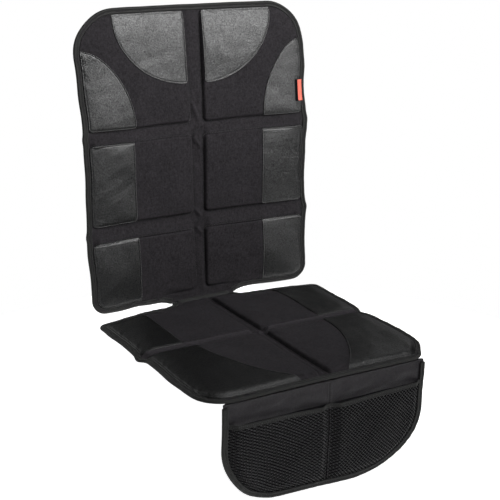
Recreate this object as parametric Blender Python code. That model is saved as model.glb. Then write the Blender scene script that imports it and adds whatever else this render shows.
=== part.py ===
"""Padded seat protector mat: back panel, seat panel and hanging pocket flap.

Units are metres, +Z up, -Y is the front.  The origin is on the underside of
the seat panel, at the middle of that panel.  Every sheet is laid out flat in
pattern coordinates (u across, s along, measured from the top edge of the back
panel down to the front edge of the seat) and is then bent along a side
profile; h is the height above the face of the base cloth.
"""
import math

import bpy
import bmesh
from mathutils import Vector
from mathutils.geometry import delaunay_2d_cdt

# ------------------------------------------------------------ dimensions
HALF_W = 0.240            # half the width of both panels
BACK_LEN = 0.560          # back panel, top edge to bottom edge
SEAT_LEN = 0.411          # seat panel, rear edge to front edge
SEAT_TOP = 0.5994         # pattern position of the rear edge of the seat
SEAT_END = SEAT_TOP + SEAT_LEN
LEAN_TOP = 7.1            # lean of the top row from upright, degrees
LEAN_MID = 2.9
LEAN_LOW = 5.25
CREASE_START = 0.5605     # the fold between back and seat
CREASE_R = 0.008
BASE = 0.004              # underside of the seat to the face of the base cloth
BOW = 0.0118              # the sides of the back panel come forward this much
WEB_HALF = 0.069          # half width of the web that joins the two panels

ROW1_END = 0.2197         # padded blocks of the back, along the pattern
ROW2 = (0.2434, 0.3963)
ROW3 = (0.4269, 0.5485)
CH_TOP = 0.0158           # half width of the centre channel at the top
CH_LOW = 0.0103           # and at the bottom of the back
SEAT_CH = 0.0095          # half width of the centre channel of the seat
SEAT_ROW1_END = SEAT_TOP + 0.1752
SEAT_ROW2 = (SEAT_TOP + 0.1904, SEAT_END - 0.0115)

PAD_H = 0.009             # face of a padded block above the base cloth
PAD_SLOPE = 0.004         # width of the sloping side of a block
CLOTH_T = 0.0012
BACKING_TOP = -0.0015
GAP = 0.0003
PATCH_T = 0.0007
TAPE_W = 0.011            # edge binding tape
TAPE_T = 0.0010
EDGE = 0.0013             # cloth edges stop this far inside the tape's fold
PRESSED = 0.0016          # the tape presses the backing in by this much

FLAP_HALF = 0.205
FLAP_LEN = 0.192
FLAP_CORNER = (0.100, 0.112)
FLAP_SETBACK = 0.0010     # face of the flap behind the front of the seat
FLAP_DROP = -0.0016       # top of the sewn hem, below the seat
FLAP_BEND = 0.003
HEM = 0.0065              # sewn under the front tape of the seat
POCKET_TOP = 0.039
NET_T = 0.0008
NET_OUT = 0.0085          # how far the nets stand off the flap
POCKET_TAPE_W = 0.011

# ------------------------------------------------------------ scene
for ob in list(bpy.data.objects):
    bpy.data.objects.remove(ob, do_unlink=True)


def material(name, rgb, rough, metallic=0.0):
    m = bpy.data.materials.new(name)
    m.use_nodes = True
    b = m.node_tree.nodes["Principled BSDF"]
    b.inputs["Base Color"].default_value = (*rgb, 1.0)
    b.inputs["Roughness"].default_value = rough
    b.inputs["Metallic"].default_value = metallic
    m.diffuse_color = (*rgb, 1.0)
    return m


CLOTH = (0.022, 0.020, 0.022)
VINYL = (0.060, 0.060, 0.060)
TAPE = (0.030, 0.032, 0.028)
FOAM = (0.300, 0.300, 0.290)
BACKER = (0.035, 0.035, 0.036)
NET = (0.012, 0.012, 0.012)
ORANGE = (0.600, 0.060, 0.020)


# ------------------------------------------------------------ side profile
class Profile:
    """Straight runs and arcs in the YZ plane.  A run is (length, a0, a1),
    where the angle is 0 straight down and 90 degrees straight forward."""

    def __init__(self, runs, start):
        self.runs = []
        y, z = start
        s = 0.0
        for length, a0, a1 in runs:
            a0, a1 = math.radians(a0), math.radians(a1)
            self.runs.append((s, length, a0, a1, y, z))
            y, z = self.walk(length, length, a0, a1, y, z)
            s += length
        self.end = (y, z)

    @staticmethod
    def walk(d, length, a0, a1, y, z):
        if abs(a1 - a0) < 1e-9:
            return y - d * math.sin(a0), z - d * math.cos(a0)
        k = (a1 - a0) / length
        a = a0 + k * d
        return y + (math.cos(a) - math.cos(a0)) / k, z - (math.sin(a) - math.sin(a0)) / k

    def at(self, s):
        run = self.runs[0]
        for r in self.runs:
            if s >= r[0] - 1e-9:
                run = r
        s0, length, a0, a1, y, z = run
        d = s - s0
        a = a0 + (a1 - a0) * d / length
        y, z = self.walk(d, length, a0, a1, y, z)
        return y, z, a


CREASE_LEN = CREASE_R * math.radians(90.0 - LEAN_LOW)
RUNS = [
    (ROW1_END, LEAN_TOP, LEAN_TOP),
    (ROW2[0] - ROW1_END, LEAN_TOP, LEAN_MID),
    (ROW2[1] - ROW2[0], LEAN_MID, LEAN_MID),
    (ROW3[0] - ROW2[1], LEAN_MID, LEAN_LOW),
    (CREASE_START - ROW3[0], LEAN_LOW, LEAN_LOW),
    (CREASE_LEN, LEAN_LOW, 90.0),
    (SEAT_END - CREASE_START - CREASE_LEN, 90.0, 90.0),
]
rough_end = Profile(RUNS, (0.0, 0.0)).end
# the middle of the seat panel is at y = 0 and its base cloth at z = BASE
MAT = Profile(RUNS, (-rough_end[0] - SEAT_LEN / 2, BASE - rough_end[1]))
SEAT_FRONT_Y = MAT.end[0]
CREASE_MID = CREASE_START + CREASE_LEN / 2


def taper(s):
    """the panels are very slightly narrower at their lower ends"""
    if s <= BACK_LEN:
        return 1.0 - 0.0125 * s / BACK_LEN
    if s < SEAT_TOP:
        t = (s - BACK_LEN) / (SEAT_TOP - BACK_LEN)
        return 0.9875 + (1.004 - 0.9875) * t
    return 1.004 - 0.0205 * (s - SEAT_TOP) / SEAT_LEN


def place(u, s, h):
    y, z, a = MAT.at(s)
    bow = BOW * max(0.0, (abs(u) - 0.02) / 0.22) ** 2
    if s > CREASE_START:
        bow *= max(0.0, 1.0 - (s - CREASE_START) / CREASE_LEN)
    return Vector((u * taper(s), y - h * math.cos(a) - bow, z + h * math.sin(a)))


FLAP_RUNS = [
    (HEM, 90.0, 90.0),
    (FLAP_BEND * math.radians(90.0), 90.0, 0.0),
    (FLAP_LEN, 0.0, 0.0),
]
FLAP = Profile(FLAP_RUNS, (SEAT_FRONT_Y + FLAP_SETBACK + FLAP_BEND + HEM, FLAP_DROP))
FLAP_S0 = HEM + FLAP_BEND * math.radians(90.0)      # hanging part begins
FLAP_ZTOP = FLAP_DROP - FLAP_BEND


def place_flap(u, t, h):
    """t is measured down from the level of the hem along the hanging part"""
    y, z, a = FLAP.at(FLAP_S0 + t - FLAP_BEND)
    return Vector((u, y - h * math.cos(a), z + h * math.sin(a)))


# ------------------------------------------------------------ outlines
def arc(cu, cs, a, b, t0, t1, n):
    """points on an ellipse, angles in degrees from the +u direction to +s"""
    out = []
    for i in range(n + 1):
        t = math.radians(t0 + (t1 - t0) * i / n)
        out.append((cu + a * math.cos(t), cs + b * math.sin(t)))
    return out


def line(p, q, n):
    return [(p[0] + (q[0] - p[0]) * i / n, p[1] + (q[1] - p[1]) * i / n) for i in range(1, n)]


def mirrored(right):
    """right half given from the centre line round; adds the left half"""
    return right + [(-u, s) for u, s in reversed(right)]


def back_right():
    """right half of the back outline, from the web round to the top centre"""
    p = [(WEB_HALF, BACK_LEN)]
    p += line(p[-1], (HALF_W - 0.032, BACK_LEN), 4)
    p += arc(HALF_W - 0.032, BACK_LEN - 0.028, 0.032, 0.028, 90, 0, 5)
    for s in (ROW3[0] + 0.05, ROW3[0], ROW2[1], 0.32, ROW2[0], ROW1_END, 0.150):
        p.append((HALF_W, s))
    p += arc(HALF_W - 0.080, 0.090, 0.080, 0.090, 0, -90, 9)
    p += line(p[-1], (0.0, 0.0), 4)
    return p


def seat_right():
    """right half of the seat outline, from the fold to the front centre"""
    p = [(WEB_HALF, CREASE_START + 0.0003 + 0.0021 * i) for i in range(5)]
    p += arc(WEB_HALF + 0.040, SEAT_TOP - 0.028, 0.040, 0.028, 180, 90, 6)
    p += line(p[-1], (HALF_W - 0.014, SEAT_TOP), 3)
    p += arc(HALF_W - 0.014, SEAT_TOP + 0.014, 0.014, 0.014, -90, 0, 4)
    p += line(p[-1], (HALF_W, SEAT_END - 0.076), 4)
    p += arc(HALF_W - 0.056, SEAT_END - 0.076, 0.056, 0.076, 0, 90, 8)
    p += line(p[-1], (0.0, SEAT_END), 3)
    return p


def flap_right():
    a, b = FLAP_CORNER
    p = [(FLAP_HALF, FLAP_BEND + 0.0005), (FLAP_HALF, 0.042), (FLAP_HALF, 0.060)]
    p += arc(FLAP_HALF - a, FLAP_LEN - b, a, b, 0, 90, 9)
    p += line(p[-1], (0.0, FLAP_LEN), 3)
    return p


def normals(pts, closed):
    n = len(pts)
    out = []
    for i in range(n):
        a = pts[i - 1] if (i or closed) else pts[0]
        b = pts[(i + 1) % n] if (i < n - 1 or closed) else pts[-1]
        p = pts[i]
        d1 = Vector((p[0] - a[0], p[1] - a[1]))
        d2 = Vector((b[0] - p[0], b[1] - p[1]))
        d1 = d1.normalized() if d1.length > 1e-9 else d2.normalized()
        d2 = d2.normalized() if d2.length > 1e-9 else d1
        m = Vector((-d1.y - d2.y, d1.x + d2.x))
        scale = 1.0 + d1.dot(d2)
        out.append(m / max(scale, 0.35))
    return out


def area(poly):
    return 0.5 * sum(poly[i - 1][0] * poly[i][1] - poly[i][0] * poly[i - 1][1] for i in range(len(poly)))


def inset(pts, d, closed=True):
    """offset to the left of travel; a closed loop always goes inwards"""
    if closed and area(pts) < 0:
        pts = list(reversed(pts))
    nn = normals(pts, closed)
    return [(p[0] + n.x * d, p[1] + n.y * d) for p, n in zip(pts, nn)]


def tidy(pts, tol=2e-4):
    out = []
    for p in pts:
        if not out or math.hypot(p[0] - out[-1][0], p[1] - out[-1][1]) > tol:
            out.append(p)
    if math.hypot(out[0][0] - out[-1][0], out[0][1] - out[-1][1]) <= tol:
        out.pop()
    return out


def inside(p, poly):
    x, y = p
    hit = False
    for i in range(len(poly)):
        x1, y1 = poly[i - 1]
        x2, y2 = poly[i]
        if (y1 > y) != (y2 > y) and x < (x2 - x1) * (y - y1) / (y2 - y1) + x1:
            hit = not hit
    return hit


def distance(p, poly, closed=True):
    best = 1e9
    for i in range(0 if closed else 1, len(poly)):
        ax, ay = poly[i - 1]
        bx, by = poly[i]
        dx, dy = bx - ax, by - ay
        t = max(0.0, min(1.0, ((p[0] - ax) * dx + (p[1] - ay) * dy) / max(dx * dx + dy * dy, 1e-18)))
        best = min(best, math.hypot(p[0] - ax - dx * t, p[1] - ay - dy * t))
    return best


# ------------------------------------------------------------ solids
def add_object(name, verts, faces, mat, smooth=False):
    me = bpy.data.meshes.new(name)
    bm = bmesh.new()
    vs = [bm.verts.new(v) for v in verts]
    for f in faces:
        bm.faces.new([vs[i] for i in f])
    bmesh.ops.recalc_face_normals(bm, faces=bm.faces[:])
    if bm.calc_volume(signed=True) < 0:
        bmesh.ops.reverse_faces(bm, faces=bm.faces[:])
    bm.to_mesh(me)
    bm.free()
    if smooth:
        me.shade_smooth()
    ob = bpy.data.objects.new(name, me)
    me.materials.append(mat)
    bpy.context.scene.collection.objects.link(ob)
    return ob


def sheet(name, loops, lines, keep, top, bottom, put, mat):
    """A layer cut to shape: flat triangulation of the loops and fold lines,
    a face at height top(u, s), another at bottom(u, s) and the cut edge."""
    co, edges = [], []
    for loop in loops:
        k = len(co)
        co += [Vector(p) for p in loop]
        edges += [(k + i, k + (i + 1) % len(loop)) for i in range(len(loop))]
    for run in lines:
        k = len(co)
        co += [Vector(p) for p in run]
        edges += [(k + i, k + i + 1) for i in range(len(run) - 1)]
    v2, e2, f2, _, _, _ = delaunay_2d_cdt(co, edges, [], 0, 6e-5)
    tris = []
    for f in f2:
        c = (sum(v2[i].x for i in f) / len(f), sum(v2[i].y for i in f) / len(f))
        if keep(c):
            tris.append(list(f))
    used = sorted({i for t in tris for i in t})
    at = {i: n for n, i in enumerate(used)}
    n = len(used)
    verts = [put(v2[i].x, v2[i].y, top((v2[i].x, v2[i].y))) for i in used]
    verts += [put(v2[i].x, v2[i].y, bottom((v2[i].x, v2[i].y))) for i in used]
    faces = []
    count = {}
    for t in tris:
        t = [at[i] for i in t]
        faces.append(t)
        faces.append([i + n for i in reversed(t)])
        for a, b in zip(t, t[1:] + t[:1]):
            count.setdefault((min(a, b), max(a, b)), []).append((a, b))
    for pair in count.values():
        if len(pair) == 1:
            a, b = pair[0]
            faces.append([b, a, a + n, b + n])
    return add_object(name, verts, faces, mat)


def flat(value):
    return lambda p: value


def sweep(name, path, section, put, mat):
    """tape folded round an edge: section points (inset, h) along a path"""
    nn = normals(path, False)
    verts, faces = [], []
    m = len(section)
    for p, nrm in zip(path, nn):
        for e, h in section:
            verts.append(put(p[0] + nrm.x * e, p[1] + nrm.y * e, h))
    for i in range(len(path) - 1):
        for j in range(m):
            a, b = i * m + j, i * m + (j + 1) % m
            faces.append([a, b, b + m, a + m])
    faces.append(list(range(m)))
    faces.append([len(verts) - m + j for j in reversed(range(m))])
    return add_object(name, verts, faces, mat)


# ------------------------------------------------------------ padded blocks
def channel(s):
    return CH_TOP + (CH_LOW - CH_TOP) * s / BACK_LEN


BACK_EDGE = mirrored(back_right()[::-1])            # starts at the top centre
BACK_EDGE = tidy(BACK_EDGE)
SEAT_EDGE = tidy(mirrored(seat_right()[::-1]))


def open_path(right):
    """whole edge from one end of the crease round to the other, with the
    panel on the left of travel"""
    path = tidy(right + [(-u, s) for u, s in reversed(right)])
    mid = inset(path, 0.02, closed=False)[len(path) // 2]
    if not inside(mid, path):
        path = path[::-1]
    return path


def joined(edge, s_end, s_seam):
    """cut edge of a panel inside its tape, carried on across the web"""
    loop = [p for p in inset(edge, EDGE) if abs(p[0]) > WEB_HALF - 0.0016]
    k = max(range(len(loop)), key=lambda i: -abs(loop[i][1] - s_end) - abs(loop[i - 1][1] - s_end)
            if loop[i][0] * loop[i - 1][0] < 0 else -9.0)
    loop = loop[k:] + loop[:k]
    sg = math.copysign(WEB_HALF - 0.0018, loop[-1][0])
    return tidy(loop + [(sg, loop[-1][1]), (sg, s_seam), (-sg, s_seam), (-sg, loop[0][1])])


BACK_CUT = joined(BACK_EDGE, BACK_LEN, CREASE_START - 0.0003)
SEAT_CUT = tidy([(u, CREASE_START + 0.0003 if s < CREASE_START + 0.0020 else s) for u, s in inset(SEAT_EDGE, EDGE)])
IN = TAPE_W + 0.0005
R = 0.008


def corner(cu, cs, a, b, t0, t1, n=4):
    return arc(cu, cs, a, b, t0, t1, n)


def pad_top():
    """right block of the top row, foot of its slope"""
    c = channel(0.0)
    c2 = channel(ROW1_END)
    p = corner(c + R, IN + R, R, R, 180, 270, 3)
    p += corner(HALF_W - 0.080, 0.090, 0.080 - IN, 0.090 - IN, -90, 0, 7)
    p += corner(HALF_W - IN - R, ROW1_END - R, R, R, 0, 90, 3)
    p += corner(c2 + R, ROW1_END - R, R, R, 90, 180, 3)
    return tidy(p)


def pad_rect(c0, c1, s0, s1, a=R, b=R):
    p = corner(c0 + R, s0 + R, R, R, 180, 270, 3)
    p += corner(HALF_W - IN - R, s0 + R, R, R, -90, 0, 3)
    p += corner(HALF_W - IN - a, s1 - b, a, b, 0, 90, 4)
    p += corner(c1 + R, s1 - R, R, R, 90, 180, 3)
    return tidy(p)


def pad_seat_rear():
    """follows the curve of the web next to the crease"""
    s0 = SEAT_TOP + IN
    p = corner(SEAT_CH + R, 0.5820 + R, R, R, 180, 270, 3)
    p += [(0.0440, 0.5820)]
    p += [(0.0520, 0.5845)]
    p += arc(WEB_HALF + 0.040, SEAT_TOP - 0.028, 0.040 + IN, 0.028 + IN, 160, 90, 5)
    p += corner(HALF_W - IN - R, s0 + R, R, R, -90, 0, 3)
    p += corner(HALF_W - IN - R, SEAT_ROW1_END - R, R, R, 0, 90, 3)
    p += corner(SEAT_CH + R, SEAT_ROW1_END - R, R, R, 90, 180, 3)
    return tidy(p)


def pad_seat_front():
    s0, s1 = SEAT_ROW2
    p = corner(SEAT_CH + R, s0 + R, R, R, 180, 270, 3)
    p += corner(HALF_W - IN - R, s0 + R, R, R, -90, 0, 3)
    p += corner(HALF_W - 0.056, SEAT_END - 0.076, 0.056 - IN, 0.076 - IN, 0, 90, 6)
    p += corner(SEAT_CH + R, s1 - R, R, R, 90, 180, 3)
    return tidy(p)


PADS = {
    "back_upper": pad_top(),
    "back_middle": pad_rect(channel(ROW2[0]), channel(ROW2[1]), *ROW2),
    "back_lower": pad_rect(channel(ROW3[0]), channel(ROW3[1]), *ROW3, a=0.020, b=0.017),
    "seat_rear": pad_seat_rear(),
    "seat_front": pad_seat_front(),
}


def flip(loop):
    return [(-u, s) for u, s in reversed(loop)]


def sides(loop):
    return (("right", loop), ("left", flip(loop)))


def block_height(feet_tops):
    def height(p):
        for foot, top in feet_tops:
            if distance(p, top) < 2e-5:
                return PAD_H
            if distance(p, foot) < 2e-5:
                return 0.0
            if inside(p, top):
                return PAD_H
            if inside(p, foot):
                a, b = distance(p, foot), distance(p, top)
                return PAD_H * a / (a + b)
        return 0.0
    return height


BOW_U = (0.052, 0.086, 0.118, 0.150, 0.182, 0.213)


def bow_lines(s0, s1):
    return [[(k * u, s0), (k * u, s1)] for u in BOW_U for k in (1, -1)]


def across(ss):
    return [[(-0.26, s), (0.26, s)] for s in ss]


BACK_FOLDS = [ROW1_END + 0.0120, ROW2[1] + 0.0150]
SEAT_FOLDS = [CREASE_START + CREASE_LEN * f for f in (0.25, 0.5, 0.75, 1.0)]

cloth = material("woven_cloth", CLOTH, 0.85)
vinyl = material("grained_vinyl", VINYL, 0.45)
tape = material("binding_tape", TAPE, 0.75)
foam = material("foam", FOAM, 0.95)
backer = material("backing_cloth", BACKER, 0.90)
netting = material("netting", NET, 0.80)
orange = material("tab_ribbon", ORANGE, 0.70)

# face cloths with their raised blocks
for name, edge, names, folds, bows in (
        ("back_face_cloth", BACK_CUT, ("back_upper", "back_middle", "back_lower"), BACK_FOLDS,
         bow_lines(-0.01, CREASE_START)),
        ("seat_face_cloth", SEAT_CUT, ("seat_rear", "seat_front"), SEAT_FOLDS, [])):
    pairs = []
    for key in names:
        for _, foot in sides(PADS[key]):
            pairs.append((foot, inset(foot, PAD_SLOPE)))
    hgt = block_height(pairs)
    loops = [edge] + [l for pair in pairs for l in pair]
    sheet(name, loops, bows + across(folds), lambda c, e=edge: inside(c, e),
          hgt, lambda p, f=hgt: f(p) - CLOTH_T, place, cloth)

# backing sheets, thinner where the tape holds them
def underside(right, ends):
    """loops of the pressed band, and the height of the lower face"""
    path = open_path(right)
    loops = []
    for d in (TAPE_W + 0.0004, TAPE_W + 0.0012):
        run = inset(path, d, closed=False)
        tail = ends(d)
        sg = math.copysign(1.0, run[0][0])
        loops.append(tidy([(sg * u, s) for u, s in reversed(tail)] + run + [(-sg * u, s) for u, s in tail]))
    inner = loops[1]

    def height(p):
        return -BASE if inside(p, inner) or distance(p, inner) < 2e-5 else -BASE + PRESSED

    return loops, height


BACK_BAND, back_under = underside(back_right(), lambda d: [
    (WEB_HALF + TAPE_W - d, BACK_LEN - d), (WEB_HALF + TAPE_W - d, BACK_LEN + 0.005)])
SEAT_BAND, seat_under = underside(seat_right(), lambda d: [(WEB_HALF - d, CREASE_START - 0.005)])
sheet("back_backing", [BACK_CUT] + BACK_BAND,
      bow_lines(-0.01, CREASE_START) + [[(k * 0.02, -0.01), (k * 0.02, CREASE_START)] for k in (1, -1)]
      + across([ROW1_END, ROW1_END + 0.012, ROW2[0], ROW2[1], ROW2[1] + 0.015, ROW3[0]]),
      lambda c: inside(c, BACK_CUT), flat(BACKING_TOP), back_under, place, backer)
sheet("seat_backing", [SEAT_CUT] + SEAT_BAND, across(SEAT_FOLDS), lambda c: inside(c, SEAT_CUT),
      flat(BACKING_TOP), seat_under, place, backer)

# foam pads under the face cloth
for key, foot in PADS.items():
    rows = bow_lines(0.0, 0.6) if key.startswith("back") else []
    for side, loop in sides(foot):
        low, high = inset(loop, 0.0010), inset(loop, 0.0048)

        def rise(p, low=low, high=high):
            if inside(p, high) or distance(p, high) < 2e-5:
                return PAD_H - CLOTH_T - 0.0004
            a, b = distance(p, low), distance(p, high)
            return -CLOTH_T + 0.0008 + (PAD_H - 0.0012) * a / (a + b)

        sheet("foam_%s_%s" % (key, side), [low, high], rows, lambda c, l=low: inside(c, l),
              rise, flat(-CLOTH_T), place, foam)

# vinyl patches sewn on the blocks
U_IN = 0.139


def quarter(cu, cs, a, b, power, n=8):
    out = []
    for i in range(n + 1):
        t = math.radians(90.0 * i / n)
        out.append((cu + a * math.cos(t) ** power, cs + b * math.sin(t) ** power))
    return out


def scoop():
    c = channel(0.0) + PAD_SLOPE + 0.0008
    return quarter(c, 0.0165, 0.142, 0.131, 1.0) + [(c, 0.0165)]


def shoulder():
    p = quarter(0.2285, 0.2150, -0.090, -0.146, 1.15)
    return p + [(0.26, 0.069), (0.26, 0.2150)]


def side_panel(s0, s1, u0):
    r = 0.006
    return [(u0, s0)] + [(0.26, s0), (0.26, s1)] + arc(u0 + r, s1 - r, r, r, 90, 180, 3)


def front_curve():
    s0, s1 = SEAT_ROW2[0], SEAT_ROW2[1] + 0.02
    p = []
    for i in range(10):
        s = s0 + (s1 - s0) * i / 9
        rel = max(0.0, s - SEAT_TOP - 0.20)
        p.append((0.135 - 0.088 * (rel / 0.211) ** 2.2, s))
    return p + [(0.26, s1), (0.26, s0)]


PATCHES = (
    ("patch_headrest", "back_upper", scoop()),
    ("patch_shoulder", "back_upper", shoulder()),
    ("patch_back_middle", "back_middle", side_panel(0.20, ROW2[1] - PAD_SLOPE - 0.0007, U_IN)),
    ("patch_back_lower", "back_lower", side_panel(0.40, 0.60, U_IN)),
    ("patch_seat_rear", "seat_rear", side_panel(0.55, SEAT_ROW1_END - PAD_SLOPE - 0.0007, 0.144)),
    ("patch_seat_front", "seat_front", front_curve()),
)
for name, key, shape in PATCHES:
    rows = bow_lines(0.0, 0.6) if key.startswith("back") else []
    for side, foot in sides(PADS[key]):
        limit = inset(foot, PAD_SLOPE + 0.0007)
        cut = shape if side == "right" else flip(shape)
        sheet("%s_%s" % (name, side), [limit, cut], rows,
              lambda c, l=limit, k=cut: inside(c, l) and inside(c, k),
              flat(PAD_H + GAP + PATCH_T), flat(PAD_H + GAP), place, vinyl)

# binding tape folded round the edges, open at the crease
LOW = -BASE + PRESSED - GAP
SECTION = [(0.0, LOW - TAPE_T + 0.0007), (0.0007, LOW - TAPE_T), (TAPE_W, LOW - TAPE_T), (TAPE_W, LOW),
           (TAPE_T, LOW), (TAPE_T, GAP), (TAPE_W, GAP), (TAPE_W, GAP + TAPE_T), (0.0007, GAP + TAPE_T),
           (0.0, GAP + TAPE_T - 0.0007)]
sweep("back_edge_binding", open_path(back_right()), SECTION, place, tape)
sweep("seat_edge_binding", open_path(seat_right()), SECTION, place, tape)

# tape over the seam at the crease
CREASE_U = WEB_HALF - TAPE_W - 0.0006
strip = [(-CREASE_U, CREASE_START - 0.0050), (CREASE_U, CREASE_START - 0.0050),
         (CREASE_U, CREASE_START + 0.0062), (-CREASE_U, CREASE_START + 0.0062)]
sheet("crease_seam_tape", [strip], across([CREASE_START, CREASE_START + 0.0021, CREASE_START + 0.0042]),
      lambda c: inside(c, strip), flat(GAP + 0.0011), flat(GAP), place, tape)

# blank ribbon tab at the right edge
TAB = [(0.2285, 0.1550), (0.2370, 0.1550), (0.2370, 0.1955), (0.2285, 0.1955)]
sheet("edge_tab", [TAB], [], lambda c: inside(c, TAB),
      flat(2 * GAP + TAPE_T + 0.0009), flat(2 * GAP + TAPE_T), place, orange)

# elastic strap across the back of the back panel, lying on the backing
STRAP_S = (0.070, 0.108)
STRAP_U = 0.215
strap = [(-STRAP_U, STRAP_S[0]), (STRAP_U, STRAP_S[0]), (STRAP_U, STRAP_S[1]), (-STRAP_U, STRAP_S[1])]
sheet("headrest_strap", [strap], bow_lines(0.05, 0.15), lambda c: inside(c, strap),
      flat(-BASE - GAP), flat(-BASE - GAP - 0.0016), place, tape)

# ------------------------------------------------------------ pocket flap
FLAP_SIDE = flap_right()
FLAP_OUT = tidy(FLAP_SIDE + [(-u, s) for u, s in reversed(FLAP_SIDE)])
flap_cut = inset(FLAP_OUT, EDGE)
arc_len = FLAP_BEND * math.radians(90.0)
hem_top = FLAP_BEND - arc_len - HEM
body = []
for u, t in flap_cut:
    body.append((u, t) if t > FLAP_BEND + 0.0025 else None)
body = [p for p in body if p]
# continue the sides up round the bend and back along the hem
right_first = body[0][0] > 0
u_side = max(u for u, _ in body)
ends = [(-0.190, hem_top), (0.190, hem_top)]
k = max(range(len(body)), key=lambda i: abs(body[i][0] - body[i - 1][0]) if body[i][1] < 0.02 and body[i - 1][1] < 0.02 else -1)
body = body[k:] + body[:k]
top_u0 = body[0][0]
hem_pts = [(math.copysign(0.190, -top_u0), hem_top), (math.copysign(0.190, top_u0), hem_top)]
flap_poly = body + [(math.copysign(u_side, body[-1][0]), FLAP_BEND - arc_len)] + hem_pts + \
    [(math.copysign(u_side, top_u0), FLAP_BEND - arc_len)]
sheet("flap_cloth", [flap_poly], across([FLAP_BEND - arc_len * f for f in (0.0, 0.25, 0.5, 0.75, 1.0)]),
      lambda c: inside(c, flap_poly), flat(0.0), flat(-CLOTH_T), place_flap, cloth)

NET_IN = 0.0004
FLAP_SECTION = [(0.0, -CLOTH_T - GAP - 0.0003), (0.0007, -CLOTH_T - GAP - TAPE_T), (0.010, -CLOTH_T - GAP - TAPE_T),
                (0.010, -CLOTH_T - GAP), (TAPE_T, -CLOTH_T - GAP), (TAPE_T, GAP * 2 + NET_T), (0.010, GAP * 2 + NET_T),
                (0.010, GAP * 2 + NET_T + TAPE_T), (0.0007, GAP * 2 + NET_T + TAPE_T), (0.0, GAP * 2 + NET_T + 0.0003)]
FLAP_PATH = tidy([(FLAP_HALF, FLAP_BEND + 0.0030)] + FLAP_SIDE[1:] + [(-u, s) for u, s in reversed(FLAP_SIDE[1:])]
                 + [(-FLAP_HALF, FLAP_BEND + 0.0030)])
if not inside(inset(FLAP_PATH, 0.02, closed=False)[len(FLAP_PATH) // 2], FLAP_PATH):
    FLAP_PATH = FLAP_PATH[::-1]
sweep("flap_edge_binding", FLAP_PATH, FLAP_SECTION, place_flap, tape)

# nets: a shallow bag on each side, held by the binding and the middle seam
NET_TOP = POCKET_TOP + POCKET_TAPE_W + GAP
EDGE_FLAT, RISE = 0.0112, 0.014
MID_FLAT = 0.0050


def net_height(p):
    e = distance(p, FLAP_OUT_OPEN, closed=False)
    side = min(max((e - EDGE_FLAT) / RISE, 0.0), 1.0)
    mid = min(max((abs(p[0]) - MID_FLAT) / RISE, 0.0), 1.0)
    return GAP + NET_OUT * min(side, mid)


FLAP_OUT_OPEN = [(FLAP_HALF, 0.0)] + FLAP_SIDE[1:] + [(-u, s) for u, s in reversed(FLAP_SIDE[1:])] + [(-FLAP_HALF, 0.0)]
OPEN_PATH = FLAP_OUT_OPEN if inside(inset(FLAP_OUT_OPEN, 0.02, closed=False)[len(FLAP_OUT_OPEN) // 2], FLAP_OUT_OPEN) \
    else FLAP_OUT_OPEN[::-1]
RINGS = [inset(OPEN_PATH, d, closed=False) for d in (EDGE_FLAT, EDGE_FLAT + RISE)]
NET_LIMIT = inset(tidy(FLAP_OUT_OPEN), 0.0022)
for side, sg in (("right", 1), ("left", -1)):
    box = [(sg * 0.0010, NET_TOP), (sg * 0.26, NET_TOP), (sg * 0.26, 0.30), (sg * 0.0010, 0.30)]
    mids = [[(sg * d, NET_TOP - 0.01), (sg * d, 0.30)] for d in (MID_FLAT, MID_FLAT + RISE)]
    sheet("pocket_net_%s" % side, [NET_LIMIT, box], RINGS + mids,
          lambda c, b=box: inside(c, NET_LIMIT) and inside(c, b),
          lambda p: net_height(p) + NET_T, net_height, place_flap, netting)

# elastic tape along the mouth of both pockets
TAPE_END = FLAP_HALF - 0.0108
us = [-TAPE_END, -(FLAP_HALF - EDGE_FLAT - RISE), -(MID_FLAT + RISE), -MID_FLAT, MID_FLAT, MID_FLAT + RISE,
      FLAP_HALF - EDGE_FLAT - RISE, TAPE_END]
verts, faces = [], []
for u in us:
    h = net_height((u, 0.05))
    for t, dh in ((POCKET_TOP, 0.0), (POCKET_TOP + POCKET_TAPE_W, 0.0), (POCKET_TOP + POCKET_TAPE_W, 0.0018),
                  (POCKET_TOP, 0.0018)):
        verts.append(place_flap(u, t, h + dh))
for i in range(len(us) - 1):
    for j in range(4):
        a, b = i * 4 + j, i * 4 + (j + 1) % 4
        faces.append([a, b, b + 4, a + 4])
faces += [[3, 2, 1, 0], [len(verts) - 4 + j for j in range(4)]]
add_object("pocket_top_tape", verts, faces, tape)

for ob in bpy.context.scene.objects:
    bpy.context.view_layer.update()
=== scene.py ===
"""Looks of the padded seat protector mat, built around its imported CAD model.

Every sheet is laid out flat in pattern coordinates (u across, s along) and
bent along the mat's side profile; h is the height above the base cloth.
"""
import math

import bpy
import numpy as np
from mathutils import Matrix, Vector
from mathutils.geometry import delaunay_2d_cdt


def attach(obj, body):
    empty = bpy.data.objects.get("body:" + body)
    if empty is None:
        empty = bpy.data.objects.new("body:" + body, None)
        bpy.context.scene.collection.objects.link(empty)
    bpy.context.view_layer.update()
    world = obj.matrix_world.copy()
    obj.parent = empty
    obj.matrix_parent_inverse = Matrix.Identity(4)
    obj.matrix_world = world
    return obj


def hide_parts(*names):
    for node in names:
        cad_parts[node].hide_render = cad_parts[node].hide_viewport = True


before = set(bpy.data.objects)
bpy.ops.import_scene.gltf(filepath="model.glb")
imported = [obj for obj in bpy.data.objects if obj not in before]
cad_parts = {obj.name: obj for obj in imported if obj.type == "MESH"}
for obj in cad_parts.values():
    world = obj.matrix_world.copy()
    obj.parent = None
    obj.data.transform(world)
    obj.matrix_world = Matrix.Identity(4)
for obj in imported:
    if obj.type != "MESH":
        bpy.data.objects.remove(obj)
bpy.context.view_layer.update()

# ------------------------------------------------------------ dimensions
HALF_W = 0.240
BACK_LEN = 0.560
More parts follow.
